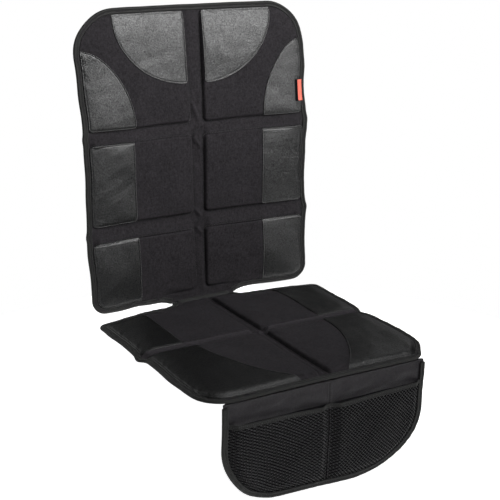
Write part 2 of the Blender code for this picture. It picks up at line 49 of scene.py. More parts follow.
SEAT_LEN = 0.411
SEAT_TOP = 0.5994
SEAT_END = SEAT_TOP + SEAT_LEN
LEAN_TOP, LEAN_MID, LEAN_LOW = 7.1, 2.9, 5.25
CREASE_START = 0.5605
CREASE_R = 0.008
BASE = 0.004
BOW = 0.0118
WEB_HALF = 0.069
ROW1_END = 0.2197
ROW2 = (0.2434, 0.3963)
ROW3 = (0.4269, 0.5485)
CH_TOP = 0.0158
CH_LOW = 0.0103
SEAT_CH = 0.0095
SEAT_ROW1_END = SEAT_TOP + 0.1752
SEAT_ROW2 = (SEAT_TOP + 0.1904, SEAT_END - 0.0115)
TAPE_W = 0.011
FLAP_HALF = 0.205
FLAP_LEN = 0.192
FLAP_CORNER = (0.100, 0.112)
FLAP_BEND = 0.003
FLAP_DROP = -0.0016
HEM = 0.0065
IN = TAPE_W + 0.0005
R = 0.008
SEAM = 0.5695              # the two quilts are joined in the bend
SEED = 7


# ------------------------------------------------------------ side profile
class Profile:
    def __init__(self, runs, start):
        y, z = start
        s = 0.0
        self.rows = []
        for length, a0, a1 in runs:
            a0, a1 = math.radians(a0), math.radians(a1)
            self.rows.append((s, length, a0, a1, y, z))
            y, z = (float(v) for v in self.walk(np.array(length), length, a0, a1, y, z))
            s += length
        self.end = (y, z)

    @staticmethod
    def walk(d, length, a0, a1, y, z):
        if abs(a1 - a0) < 1e-9:
            return y - d * math.sin(a0), z - d * math.cos(a0)
        k = (a1 - a0) / length
        a = a0 + k * d
        return y + (np.cos(a) - math.cos(a0)) / k, z - (np.sin(a) - math.sin(a0)) / k

    def at(self, s):
        s = np.asarray(s, float)
        y, z, a = np.zeros_like(s), np.zeros_like(s), np.zeros_like(s)
        for i, (s0, length, a0, a1, y0, z0) in enumerate(self.rows):
            m = s >= s0 if i else np.ones_like(s, bool)
            d = s[m] - s0
            y[m], z[m] = self.walk(d, length, a0, a1, y0, z0)
            a[m] = a0 + (a1 - a0) * d / length
        return y, z, a


CREASE_LEN = CREASE_R * math.radians(90.0 - LEAN_LOW)
RUNS = [
    (ROW1_END, LEAN_TOP, LEAN_TOP),
    (ROW2[0] - ROW1_END, LEAN_TOP, LEAN_MID),
    (ROW2[1] - ROW2[0], LEAN_MID, LEAN_MID),
    (ROW3[0] - ROW2[1], LEAN_MID, LEAN_LOW),
    (CREASE_START - ROW3[0], LEAN_LOW, LEAN_LOW),
    (CREASE_LEN, LEAN_LOW, 90.0),
    (SEAT_END - CREASE_START - CREASE_LEN, 90.0, 90.0),
]
rough_end = Profile(RUNS, (0.0, 0.0)).end
MAT = Profile(RUNS, (-rough_end[0] - SEAT_LEN / 2, BASE - rough_end[1]))
SEAT_FRONT_Y = MAT.end[0]


def gauss(x, w):
    return np.exp(-(x / w) ** 2)


def smooth(x, a, b):
    t = np.clip((x - a) / (b - a), 0.0, 1.0)
    return t * t * (3 - 2 * t)


def taper(s):
    t = np.where(s <= BACK_LEN, 1.0 - 0.0125 * s / BACK_LEN, 0.0)
    mid = (s > BACK_LEN) & (s < SEAT_TOP)
    t = np.where(mid, 0.9875 + 0.0165 * (s - BACK_LEN) / (SEAT_TOP - BACK_LEN), t)
    return np.where(s >= SEAT_TOP, 1.004 - 0.0205 * (s - SEAT_TOP) / SEAT_LEN, t)


def drift(u, s):
    """sewn fabric is never quite true: small shifts of the whole sandwich"""
    edge = smooth(np.abs(u), 0.17, 0.24)
    side = np.sign(u)
    du = edge * side * (0.0016 * gauss(s - 0.2315, 0.008) + 0.0018 * gauss(s - 0.4118, 0.008))
    du += edge * side * 0.0006 * np.sin(s * 61.0 + side * 1.3)
    ds = 0.0007 * np.sin(u * 37.0 + 0.6) * np.sin(s * 9.0)
    dh = 0.0010 * np.sin(u * 15.0 + s * 11.0) * np.sin(s * 17.0 - 0.5)
    back = s < SEAM
    left, right = smooth(-u, 0.10, 0.22), smooth(u, 0.10, 0.22)
    # the left shoulder of the mat is fuller than the right one
    du += back * left * -(0.0078 * gauss(s - 0.056, 0.050) + 0.0026 * gauss(s - 0.130, 0.05) + 0.0030 * gauss(s - 0.430, 0.040))
    du += back * right * (0.0026 * gauss(s - 0.035, 0.030) + 0.0022 * gauss(s - 0.120, 0.03) + 0.0046 * gauss(s - 0.250, 0.034)
                          + 0.0030 * gauss(s - 0.420, 0.034))
    low = smooth(s, 0.50, 0.552) * back
    ds = ds + low * (0.0042 * gauss(u + 0.112, 0.030) + 0.0052 * gauss(u + 0.185, 0.045) + 0.0036 * gauss(u - 0.185, 0.045))
    # seat: rear edge slants, sides bulge
    rear = (s >= SEAM) * (1 - smooth(s, 0.600, 0.690))
    ds = ds + rear * np.where(u < 0, 0.0034 * smooth(-u, 0.062, 0.095) + 0.0095 * smooth(-u, 0.12, 0.235), 0.0070 * smooth(u, 0.14, 0.235))
    du += (s >= SEAM) * left * -(0.0050 * smooth(s, 0.590, 0.620) * (1 - smooth(s, 0.76, 0.81)) + 0.0064 * gauss(s - (SEAT_TOP + 0.385), 0.030)
                                   + 0.0036 * gauss(s - (SEAT_TOP + 0.310), 0.040))
    du += (s >= SEAM) * right * (0.0042 * gauss(s - (SEAT_TOP + 0.285), 0.045) - 0.0070 * gauss(s - (SEAT_TOP + 0.388), 0.022))
    # the seat rests on nothing firm at its edges: the cross channel pulls in
    seat = smooth(s, SEAT_TOP + 0.02, SEAT_TOP + 0.06)
    cross = gauss(s - (SEAT_TOP + 0.184), 0.012)
    du += seat * edge * cross * np.where(u > 0, -0.0075, -0.0050)
    dh += seat * edge * cross * np.where(u > 0, -0.0005, -0.0030)
    return du, ds, dh * smooth(np.abs(s - CREASE_START - 0.006), 0.01, 0.05)


def put(u, s, h):
    u, s, h = np.broadcast_arrays(np.asarray(u, float), np.asarray(s, float), np.asarray(h, float))
    du, ds, dh = drift(u, s)
    u, s, h = u + du, s + ds, h + dh
    y, z, a = MAT.at(s)
    bow = BOW * np.maximum(0.0, (np.abs(u) - 0.02) / 0.22) ** 2
    bow = np.where(s > CREASE_START, bow * np.maximum(0.0, 1.0 - (s - CREASE_START) / CREASE_LEN), bow)
    return np.stack([u * taper(s), y - h * np.cos(a) - bow, z + h * np.sin(a)], -1)


FLAP = Profile([(HEM, 90.0, 90.0), (FLAP_BEND * math.radians(90.0), 90.0, 0.0), (FLAP_LEN, 0.0, 0.0)],
               (SEAT_FRONT_Y + 0.0010 + FLAP_BEND + HEM, FLAP_DROP))
FLAP_S0 = HEM + FLAP_BEND * math.radians(90.0)


def flap_sway(u, t):
    """soft hang of the flap as a whole"""
    k = smooth(t, 0.02, 0.12)
    return k * (0.0025 * np.sin(u * 21.0 + 0.8) + 0.0016 * np.sin(u * 47.0 + t * 25.0))


def put_flap(u, t, h):
    u, t, h = np.broadcast_arrays(np.asarray(u, float), np.asarray(t, float), np.asarray(h, float))
    k = smooth(t, 0.07, 0.17)
    w = k * (0.0032 * gauss(u - 0.030, 0.060) - 0.0042 * gauss(u + 0.165, 0.042) - 0.0040 * gauss(u - 0.140, 0.036))
    u = u + 0.0032 * smooth(u, 0.11, 0.19) * gauss(t - 0.120, 0.030) + 0.0020 * smooth(-u, 0.13, 0.19) * gauss(t - 0.15, 0.03)
    t = t + w
    y, z, a = FLAP.at(FLAP_S0 + t - FLAP_BEND)
    h = h + flap_sway(u, t)
    return np.stack([u, y - h * np.cos(a), z + h * np.sin(a)], -1)


# ------------------------------------------------------------ outlines
def arc(cu, cs, a, b, t0, t1, n):
    t = np.radians(np.linspace(t0, t1, n + 1))
    return [(cu + a * math.cos(x), cs + b * math.sin(x)) for x in t]


def resample(pts, step, closed):
    p = np.array(pts, float)
    if closed:
        p = np.vstack([p, p[:1]])
    d = np.hypot(*np.diff(p, axis=0).T)
    keep = np.concatenate([[True], d > 1e-7])
    p = p[keep]
    d = np.hypot(*np.diff(p, axis=0).T)
    c = np.concatenate([[0], np.cumsum(d)])
    n = max(3, int(round(c[-1] / step)))
    x = np.linspace(0, c[-1], n + 1)
    out = np.stack([np.interp(x, c, p[:, 0]), np.interp(x, c, p[:, 1])], 1)
    return out[:-1] if closed else out


def path_normals(p, closed):
    if closed:
        t = np.roll(p, -1, 0) - np.roll(p, 1, 0)
    else:
        t = np.gradient(p, axis=0)
    t /= np.maximum(np.hypot(t[:, 0], t[:, 1]), 1e-12)[:, None]
    return np.stack([-t[:, 1], t[:, 0]], 1)


def area(p):
    x, y = p[:, 0], p[:, 1]
    return 0.5 * float(np.sum(np.roll(x, 1) * y - x * np.roll(y, 1)))


def ring(p, d):
    """closed loop moved inwards by d"""
    if area(p) < 0:
        p = p[::-1]
    return p + path_normals(p, True) * d


def seg_distance(P, poly, closed=True):
    A = np.asarray(poly, float)
    B = np.roll(A, -1, 0)
    if not closed:
        A, B = A[:-1], B[:-1]
    best = np.full(len(P), 1e9)
    for a, b in zip(A, B):
        ab = b - a
        t = np.clip(((P - a) @ ab) / max(float(ab @ ab), 1e-18), 0, 1)
        q = P - a - t[:, None] * ab
        np.minimum(best, q[:, 0] ** 2 + q[:, 1] ** 2, out=best)
    return np.sqrt(best)


def inside(P, poly):
    A = np.asarray(poly, float)
    B = np.roll(A, -1, 0)
    hit = np.zeros(len(P), bool)
    x, y = P[:, 0], P[:, 1]
    for (x1, y1), (x2, y2) in zip(A, B):
        if y1 == y2:
            continue
        m = (y1 > y) != (y2 > y)
        hit ^= m & (x < (x2 - x1) * (y - y1) / (y2 - y1) + x1)
    return hit


def depth(P, poly):
    """distance to the loop, positive inside"""
    return np.where(inside(P, poly), 1.0, -1.0) * seg_distance(P, poly)


class Field:
    """signed distance to a loop, kept on a fine grid"""

    def __init__(self, loop, margin=0.022, step=0.0013):
        self.lo = loop.min(0) - margin
        hi = loop.max(0) + margin
        self.step = step
        self.n = np.ceil((hi - self.lo) / step).astype(int) + 1
        x = self.lo[0] + step * np.arange(self.n[0])
        y = self.lo[1] + step * np.arange(self.n[1])
        G = np.stack(np.meshgrid(x, y, indexing="ij"), -1).reshape(-1, 2)
        loop = resample(loop, 0.0030, True)
        self.d = depth(G, loop).reshape(self.n[0], self.n[1])

    def __call__(self, P):
        q = (P - self.lo) / self.step
        ok = (q[:, 0] >= 0) & (q[:, 1] >= 0) & (q[:, 0] < self.n[0] - 1) & (q[:, 1] < self.n[1] - 1)
        out = np.full(len(P), -1.0)
        i = q[ok].astype(int)
        f = q[ok] - i
        d = self.d
        out[ok] = ((1 - f[:, 0]) * (1 - f[:, 1]) * d[i[:, 0], i[:, 1]] + f[:, 0] * (1 - f[:, 1]) * d[i[:, 0] + 1, i[:, 1]]
                   + (1 - f[:, 0]) * f[:, 1] * d[i[:, 0], i[:, 1] + 1] + f[:, 0] * f[:, 1] * d[i[:, 0] + 1, i[:, 1] + 1])
        return out


def back_right():
    p = [(WEB_HALF, 0.5692), (0.0740, 0.5675), (0.0805, 0.5648), (0.0885, 0.5625), (0.0980, 0.5608), (0.1090, 0.5600),
         (HALF_W - 0.032, BACK_LEN)]
    p += arc(HALF_W - 0.032, BACK_LEN - 0.028, 0.032, 0.028, 90, 0, 10)
    p += [(HALF_W, ROW2[1]), (HALF_W, 0.150)]
    p += arc(HALF_W - 0.080, 0.090, 0.080, 0.090, 0, -90, 20)
    return p + [(0.0, 0.0)]


def seat_right():
    p = [(WEB_HALF, SEAM + 0.0004), (0.0698, 0.5740), (0.0712, 0.5775), (0.0745, 0.5808), (0.0800, 0.5835), (0.0880, 0.5852),
         (0.1100, 0.5872), (0.1440, 0.5895), (0.1900, 0.5938), (0.2150, 0.5968)]
    p += arc(HALF_W - 0.014, 0.6130, 0.014, 0.0140, -80, 0, 8)
    p += [(HALF_W, SEAT_END - 0.076)]
    p += arc(HALF_W - 0.056, SEAT_END - 0.076, 0.056, 0.076, 0, 90, 16)
    return p + [(0.0, SEAT_END)]


def flap_right():
    a, b = FLAP_CORNER
    p = [(FLAP_HALF, FLAP_BEND + 0.0030), (FLAP_HALF, 0.050)]
    p += arc(FLAP_HALF - a, FLAP_LEN - b, a, b, 0, 90, 20)
    return p + [(0.0, FLAP_LEN)]


def whole(right):
    return right + [(-u, s) for u, s in reversed(right)]


def channel(s):
    return CH_TOP + (CH_LOW - CH_TOP) * s / BACK_LEN


def pad_top():
    c, c2 = channel(0.0), channel(ROW1_END)
    p = arc(c + R, IN + R, R, R, 180, 270, 6)
    p += arc(HALF_W - 0.080, 0.090, 0.080 - IN, 0.090 - IN, -90, 0, 16)
    p += arc(HALF_W - IN - R, ROW1_END - R, R, R, 0, 90, 6)
    p += arc(c2 + R, ROW1_END - R, R, R, 90, 180, 6)
    return p


def pad_rect(c0, c1, s0, s1, a=R, b=R):
    p = arc(c0 + R, s0 + R, R, R, 180, 270, 6)
    p += arc(HALF_W - IN - R, s0 + R, R, R, -90, 0, 6)
    p += arc(HALF_W - IN - a, s1 - b, a, b, 0, 90, 8)
    p += arc(c1 + R, s1 - R, R, R, 90, 180, 6)
    return p


def pad_seat_rear():
    p = arc(SEAT_CH + R, 0.5830 + R, R, R, 180, 270, 6)
    p += [(0.0440, 0.5830), (0.0540, 0.5855), (0.0640, 0.5905), (0.0740, 0.5950), (0.0860, 0.5968), (0.1100, 0.5988),
          (0.1440, 0.6011), (0.1880, 0.6054), (0.2060, 0.6076)]
    p += arc(HALF_W - IN - R, 0.6175, R, 0.0085, -70, 0, 6)
    p += arc(HALF_W - IN - R, SEAT_ROW1_END - R, R, R, 0, 90, 6)
    p += arc(SEAT_CH + R, SEAT_ROW1_END - R, R, R, 90, 180, 6)
    return p


def pad_seat_front():
    s0, s1 = SEAT_ROW2
    p = arc(SEAT_CH + R, s0 + R, R, R, 180, 270, 6)
    p += arc(HALF_W - IN - R, s0 + R, R, R, -90, 0, 6)
    p += arc(HALF_W - 0.056, SEAT_END - 0.076, 0.056 - IN, 0.076 - IN, 0, 90, 14)
    p += arc(SEAT_CH + R, s1 - R, R, R, 90, 180, 6)
    return p


def flip(p):
    return [(-u, s) for u, s in reversed(list(p))]


PADS = {}
for key, loop in (("back_upper", pad_top()),
                  ("back_middle", pad_rect(channel(ROW2[0]), channel(ROW2[1]), *ROW2)),
                  ("back_lower", pad_rect(channel(ROW3[0]), channel(ROW3[1]), *ROW3, a=0.020, b=0.017)),
                  ("seat_rear", pad_seat_rear()), ("seat_front", pad_seat_front())):
    PADS[key + "_right"] = resample(loop, 0.0024, True)
    PADS[key + "_left"] = resample(flip(loop), 0.0024, True)
BACK_EDGE = np.array(whole(back_right()))
SEAT_EDGE = np.array(whole(seat_right()))
BACK_LOOP, SEAT_LOOP = resample(BACK_EDGE, 0.004, True), resample(SEAT_EDGE, 0.004, True)


def pushed(loop, edge, by):
    """loop with its outer side moved out by a distance, towards the edge"""
    e = depth(loop, edge)
    g = np.stack([depth(loop + [1e-4, 0], edge) - e, depth(loop + [0, 1e-4], edge) - e], 1) / 1e-4
    return loop - g * (by * (1 - smooth(e, 0.0118, 0.0150)))[:, None]


def edge_of(key):
    return BACK_LOOP if key.startswith("back") else SEAT_LOOP


FIELD = {k: Field(pushed(l, edge_of(k), 0.024), margin=0.012) for k, l in PADS.items() if k.endswith("_right")}
EDGE_FIELD = {"back": Field(BACK_LOOP, margin=0.01, step=0.0018), "seat": Field(SEAT_LOOP, margin=0.01, step=0.0018)}
for k in [k for k in PADS if k.endswith("_left")]:
    FIELD[k] = lambda P, f=FIELD[k[:-5] + "_right"]: f(P * [-1.0, 1.0])


# ------------------------------------------------------------ relief
def fold(P, a, b, width, amp, ends=0.35):
    """a soft crease from a to b, fading out at its ends"""
    a, b = np.array(a), np.array(b)
    ab = b - a
    t = ((P - a) @ ab) / float(ab @ ab)
    d = np.abs((P[:, 0] - a[0]) * ab[1] - (P[:, 1] - a[1]) * ab[0]) / math.hypot(*ab)
    fade = smooth(t, -0.02, ends) * (1 - smooth(t, 1 - ends, 1.02))
    return amp * np.exp(-(d / width) ** 2) * fade


CROSSINGS = ((0.0, 0.2315), (0.0, 0.4116), (0.0, SEAT_TOP + 0.1828))

CREASES = [
    # top crossing: the channel's cloth gathers into slanting folds
    ((-0.012, 0.176), (0.006, 0.226), 0.0040, 0.0030),
    ((0.013, 0.150), (0.002, 0.205), 0.0045, 0.0026),
    ((0.010, 0.219), (-0.013, 0.252), 0.0036, 0.0030),
    ((-0.012, 0.244), (0.010, 0.275), 0.0038, 0.0026),
    ((0.014, 0.236), (0.050, 0.226), 0.0040, 0.0020),
    ((-0.014, 0.230), (-0.060, 0.238), 0.0042, 0.0018),
    # second crossing
    ((-0.012, 0.386), (0.008, 0.408), 0.0040, 0.0030),
    ((0.010, 0.402), (-0.010, 0.425), 0.0034, 0.0030),
    ((-0.010, 0.420), (0.009, 0.446), 0.0038, 0.0024),
    ((0.012, 0.412), (0.050, 0.405), 0.0040, 0.0018),
    ((-0.012, 0.410), (-0.055, 0.417), 0.0040, 0.0018),
    # seat crossing
    ((-0.010, SEAT_TOP + 0.170), (0.008, SEAT_TOP + 0.190), 0.0036, 0.0026),
    ((0.010, SEAT_TOP + 0.172), (-0.008, SEAT_TOP + 0.196), 0.0034, 0.0024),
    # bottom of the back, drawn towards the web
    ((-0.005, 0.553), (-0.095, 0.530), 0.0070, 0.0016),
    ((0.006, 0.552), (0.085, 0.520), 0.0060, 0.0020),
    ((0.020, 0.556), (0.110, 0.544), 0.0050, 0.0018),
    ((-0.020, 0.556), (-0.120, 0.546), 0.0050, 0.0014),
    ((0.002, 0.500), (0.004, 0.560), 0.0035, 0.0014),
]


def wander(u, s, seed, scale, amp):
    """smooth pseudo-random relief from a few seeded waves"""
    rng = np.random.RandomState(seed)
    out = np.zeros_like(u)
    for _ in range(7):
        a = rng.uniform(0, 2 * math.pi)
        k = 2 * math.pi / scale * rng.uniform(0.6, 1.5)
        out += np.sin(k * (u * math.cos(a) + s * math.sin(a)) + rng.uniform(0, 6.28))
    return amp * out / 2.6


PAD_SEED = {k: 11 + 3 * i for i, k in enumerate(sorted(PADS))}
PAD_H = 0.0078


def quilt_height(P):
    """height of the face cloth: blocks, channels, puckers"""
    u, s = P[:, 0], P[:, 1]
    out = np.full(len(P), -0.0002)
    near = np.full(len(P), 1e9)
    lift = np.zeros(len(P))
    for key, loop in PADS.items():
        lo, hi = loop.min(0) - 0.02, loop.max(0) + 0.02
        m = (u > lo[0]) & (u < hi[0]) & (s > lo[1]) & (s < hi[1])
        if not m.any():
            continue
        d = FIELD[key](P[m])
        e = EDGE_FIELD[key[:4]](P[m])
        full = PAD_H + 0.0010
        x = np.clip(e - 0.0114, 0, None)
        if key.startswith("back"):
            rise = 1 - np.exp(-x / 0.026)
        else:
            side = 1 - smooth(s[m], SEAT_TOP + 0.345, SEAT_TOP + 0.385)
            rise = 1 - (1 - np.clip(x / (0.0105 + 0.0195 * side), 0, 1)) ** 1.7
        foot = 0.0030 if key.startswith("back") else 0.0020
        rim = (foot * smooth(e, 0.0104, 0.0117) + (full - foot) * rise) / full
        pucker = gauss(e - 0.0165, 0.0060) * smooth(e, 0.0116, 0.0135)
        rim = rim + pucker * (wander(u[m], s[m], 91, 0.019, 0.040) if key.startswith("seat") else wander(u[m], s[m], 92, 0.024, 0.03))
        near[m] = np.minimum(near[m], np.abs(d))
        x = np.clip(d / 0.0068, 0, 1)
        body = PAD_H * (1 - (1 - x) ** 3.6)
        crown = 0.0016 * (1 - np.exp(-np.clip(d - 0.003, 0, None) / 0.026))
        w = wander(u[m], s[m], PAD_SEED[key], 0.11, 0.0006) + wander(u[m], s[m], PAD_SEED[key] + 1, 0.035, 0.00016)
        lift[m] += np.where(d > 0, (body + (crown + w) * smooth(d, 0.0, 0.012)) * rim, 0.0)
    # the channel's cloth rises a little between its two rows of stitches
    ch = lift <= 0
    out[ch] += 0.0014 * (1 - np.exp(-(near[ch] / 0.0045) ** 2)) + wander(u[ch], s[ch], 5, 0.03, 0.00030)
    out += lift
    # the back's cross channels slope out towards the block below
    inside = smooth(np.abs(u), 0.010, 0.024) * (1 - smooth(np.abs(u), 0.216, 0.229))
    for cs, half in ((0.2315, 0.0100), (0.4116, 0.0105)):
        slope = 0.0066 * np.clip((s - cs + half) / (2 * half), 0, 1) * (1 - smooth(s, cs + half + 0.004, cs + half + 0.012))
        out = np.maximum(out, slope * inside)
    # the seat's stands up as a soft ridge
    r = (s - (SEAT_TOP + 0.1828)) / 0.0072
    out = np.maximum(out, 0.0102 * np.clip(1 - r * r, 0, 1) ** 0.6 * smooth(np.abs(u), 0.008, 0.022) * (1 - smooth(np.abs(u), 0.220, 0.230)))
    # gathers where channels cross, and where the bottom is drawn to the web
    for cu, cs in CROSSINGS:
        r = np.hypot(u - cu, s - cs)
        out -= 0.0014 * gauss(r, 0.016)
    for a, b, w, amp in CREASES:
        out += fold(P, a, b, w, amp)
    # creases near the crossings run out into the blocks
    rng = np.random.RandomState(SEED)
    for cu, cs in CROSSINGS:
        for q in range(4):
            base = math.radians(45 + 90 * q)
            for _ in range(2):
                a = base + rng.uniform(-0.55, 0.55)
                r0, r1 = rng.uniform(0.018, 0.026), rng.uniform(0.045, 0.075)
                out += fold(P, (cu + r0 * math.cos(a), cs + r0 * math.sin(a)),
                            (cu + r1 * math.cos(a), cs + r1 * math.sin(a)), 0.0035, rng.uniform(-0.0006, 0.0006))
    return out


# ------------------------------------------------------------ mesh making
def new_mesh(name, verts, faces, mat, uv=None, smooth_shade=True):
    me = bpy.data.meshes.new(name)
    verts = np.asarray(verts, float)
    me.from_pydata(verts.tolist(), [], faces)
    me.validate()
    if uv is not None:
        layer = me.uv_layers.new(name="pattern")
        idx = np.empty(len(me.loops), int)
        me.loops.foreach_get("vertex_index", idx)
        layer.data.foreach_set("uv", np.asarray(uv, np.float32)[idx].ravel())
    if smooth_shade:
        me.polygons.foreach_set("use_smooth", [True] * len(me.polygons))
    me.materials.append(mat)
    ob = bpy.data.objects.new(name, me)
    bpy.context.scene.collection.objects.link(ob)
    return ob


def hexes(lo, hi, step):
    rows = []
    k = 0
    s = lo[1]
    while s <= hi[1]:
        x = np.arange(lo[0] + (step / 2 if k % 2 else 0.0), hi[0], step)
        rows.append(np.stack([x, np.full_like(x, s)], 1))
        s += step * 0.866
        k += 1
    return np.vstack(rows)


def layer(name, border, loops, top, bottom, place_fn, mat, step=0.0030, lines=(), extra=None, clear=0.0011):
    """closed solid sheet: triangulated inside border with rings of points at
    the loops, top and bottom heights, and a cut edge"""
    border = np.asarray(border, float)
    sets = [border]
    pts = hexes(border.min(0), border.max(0), step)
    pts = pts[depth(pts, border) > clear]
    for l, field, offsets in loops:
        for o in offsets:
            r = ring(l, o)
            sets.append(r[depth(r, border) > 0.0004])
        d = field(pts)
        m = np.ones(len(pts), bool)
        for o in offsets:
            m &= np.abs(d - o) > clear
        pts = pts[m]
    sets.append(pts)
    if extra is not None:
        sets.append(extra[depth(extra, border) > 0.0004])
    P = np.vstack(sets)
    n0 = len(border)
    edges = [(i, (i + 1) % n0) for i in range(n0)]
    v2, _, f2, _, _, _ = delaunay_2d_cdt([Vector(p) for p in P], edges, [], 0, 1e-5)
    V = np.array([(v.x, v.y) for v in v2])
    F = np.array([f for f in f2 if len(f) == 3], int)
    c = V[F].mean(1)
    F = F[inside(c, border)]
    used, inv = np.unique(F, return_inverse=True)
    F = inv.reshape(F.shape)
    V = V[used]
    n = len(V)
    a, b, cc = V[F[:, 0]], V[F[:, 1]], V[F[:, 2]]
    turn = (b[:, 0] - a[:, 0]) * (cc[:, 1] - a[:, 1]) - (b[:, 1] - a[:, 1]) * (cc[:, 0] - a[:, 0])
    F[turn > 0] = F[turn > 0][:, ::-1]
    T = place_fn(V[:, 0], V[:, 1], top(V))
    B = place_fn(V[:, 0], V[:, 1], bottom(V))
    E = np.vstack([F[:, [0, 1]], F[:, [1, 2]], F[:, [2, 0]]])
    key = np.sort(E, 1)
    _, first, count = np.unique(key[:, 0] * (n + 1) + key[:, 1], return_index=True, return_counts=True)
    rim = E[first[count == 1]]
    faces = F.tolist() + (F[:, ::-1] + n).tolist()
    faces += [[int(q), int(p), int(p) + n, int(q) + n] for p, q in rim]
    uv = np.vstack([V, V])
    return new_mesh(name, np.vstack([T, B]), faces, mat, uv)


def sweep(name, path, section, place_fn, mat, wobble=0.0, seed=3, step=0.0025):
    """tape along an open path; section points are (inset, h), closed"""
    p = resample(path, step, False)
    nn = path_normals(p, False)
    L = np.concatenate([[0], np.cumsum(np.hypot(*np.diff(p, axis=0).T))])
    sec = np.array(section)
    m, n = len(sec), len(p)
    if wobble:
        w = wander(L, L * 0.0, seed, 0.045, wobble)
        w2 = wander(L, L * 0.0, seed + 1, 0.020, wobble * 0.6)
    else:
        w = w2 = np.zeros(n)
    e = sec[None, :, 0] + w[:, None] * 0.5
    h = sec[None, :, 1] + (w2[:, None]) * (sec[None, :, 1] > 0)
    U = p[:, 0:1] + nn[:, 0:1] * e
    S = p[:, 1:2] + nn[:, 1:2] * e
    verts = place_fn(U.ravel(), S.ravel(), h.ravel())
    i, j = np.meshgrid(np.arange(n - 1), np.arange(m), indexing="ij")
    a, b = i * m + j, i * m + (j + 1) % m
    faces = np.stack([a, b, b + m, a + m], -1).reshape(-1, 4).tolist()
    faces.append(list(range(m))[::-1])
    faces.append([(n - 1) * m + k for k in range(m)])
    around = np.concatenate([[0], np.cumsum(np.hypot(*np.diff(sec, axis=0).T))])
    uv = np.stack([np.repeat(L, m), np.tile(around, n)], 1)
    return new_mesh(name, verts, faces, mat, uv)


def tubes(name, A, B, N, r, mat, sides=4, caps=True, bulge=0.0):
    """one mesh of short threads from A to B (n x 3), N about normal to them"""
    A, B, N = (np.asarray(x, float) for x in (A, B, N))
    r = np.broadcast_to(np.asarray(r, float), (len(A),))[:, None]
    t = B - A
    t /= np.maximum(np.linalg.norm(t, axis=1), 1e-12)[:, None]
    b = np.cross(t, N)
    b /= np.maximum(np.linalg.norm(b, axis=1), 1e-12)[:, None]
    n = np.cross(b, t)
    stations = [(0.0, 0.55), (0.5, 1.0), (1.0, 0.55)] if bulge else [(0.0, 1.0), (1.0, 1.0)]
    rings = []
    for f, k in stations:
        c = A + (B - A) * f + n * (bulge if f == 0.5 else 0.0)
        for q in range(sides):
            ang = 2 * math.pi * (q + 0.5) / sides
            rings.append(c + (b * math.cos(ang) + n * math.sin(ang)) * r * k)
    V = np.stack(rings, 1)                      # n, stations*sides, 3
    m = V.shape[1]
    faces = []
    for st in range(len(stations) - 1):
        for q in range(sides):
            a0, a1 = st * sides + q, st * sides + (q + 1) % sides
            faces.append([a0, a1, a1 + sides, a0 + sides])
    if caps:
        faces.append(list(range(sides))[::-1])
        faces.append([m - sides + q for q in range(sides)])
    base = (np.arange(len(A)) * m)[:, None]
    allf = []
    for f in faces:
        allf += (base + np.array(f)[None, :]).tolist()
    uv = np.tile(np.array([(f, q / sides) for f, _ in stations for q in range(sides)]) * 0.002, (len(A), 1))
    return new_mesh(name, V.reshape(-1, 3), allf, mat, uv)


def stitches(name, lines, place_fn, height, mat, pitch=0.0036, length=0.0027, r=0.00028, lift=0.00012):
    """rows of sewing thread along lines of pattern points"""
    A, B, N = [], [], []
    for l in lines:
        l = np.asarray(l, float)
        d = np.hypot(*np.diff(l, axis=0).T)
        c = np.concatenate([[0], np.cumsum(d)])
        x = np.arange(pitch * 0.4, c[-1] - length, pitch)
        pa = np.stack([np.interp(x, c, l[:, 0]), np.interp(x, c, l[:, 1])], 1)
        pb = np.stack([np.interp(x + length, c, l[:, 0]), np.interp(x + length, c, l[:, 1])], 1)
        ha, hb = height(pa), height(pb)
        a, b = place_fn(pa[:, 0], pa[:, 1], ha + lift), place_fn(pb[:, 0], pb[:, 1], hb + lift)
        up = place_fn(pa[:, 0], pa[:, 1], ha + lift + 0.001) - a
        A.append(a)
        B.append(b)
        N.append(up / np.linalg.norm(up, axis=1)[:, None])
    return tubes(name, np.vstack(A), np.vstack(B), np.vstack(N), r, mat, sides=4, bulge=0.00018)


# ------------------------------------------------------------ materials
def base_material(name, rgb, rough):
    m = bpy.data.materials.new(name)
    m.use_nodes = True
    nt = m.node_tree
    b = nt.nodes["Principled BSDF"]
    b.inputs["Base Color"].default_value = (*rgb, 1)
    b.inputs["Roughness"].default_value = rough
    return m, nt, b


def node(nt, kind, **sockets):
    n = nt.nodes.new(kind)
    for k, v in sockets.items():
        if k in n.inputs:
            n.inputs[k].default_value = v
        else:
            setattr(n, k, v)
    return n


def math_node(nt, op, a, b=None):
    n = nt.nodes.new("ShaderNodeMath")
    n.operation = op
    for i, x in enumerate((a, b)):
        if x is None:
            continue
        if isinstance(x, (int, float)):
            n.inputs[i].default_value = x
        else:
            nt.links.new(x, n.inputs[i])
    return n.outputs[0]


def tinted(nt, b, rgb, fac, lo, hi):
    """base colour varied between lo and hi times rgb"""
    mix = nt.nodes.new("ShaderNodeMix")
    mix.data_type = "RGBA"
    mix.inputs[6].default_value = (*[c * lo for c in rgb], 1)
    mix.inputs[7].default_value = (*[c * hi for c in rgb], 1)
    nt.links.new(fac, mix.inputs[0])
    nt.links.new(mix.outputs[2], b.inputs["Base Color"])
    return mix


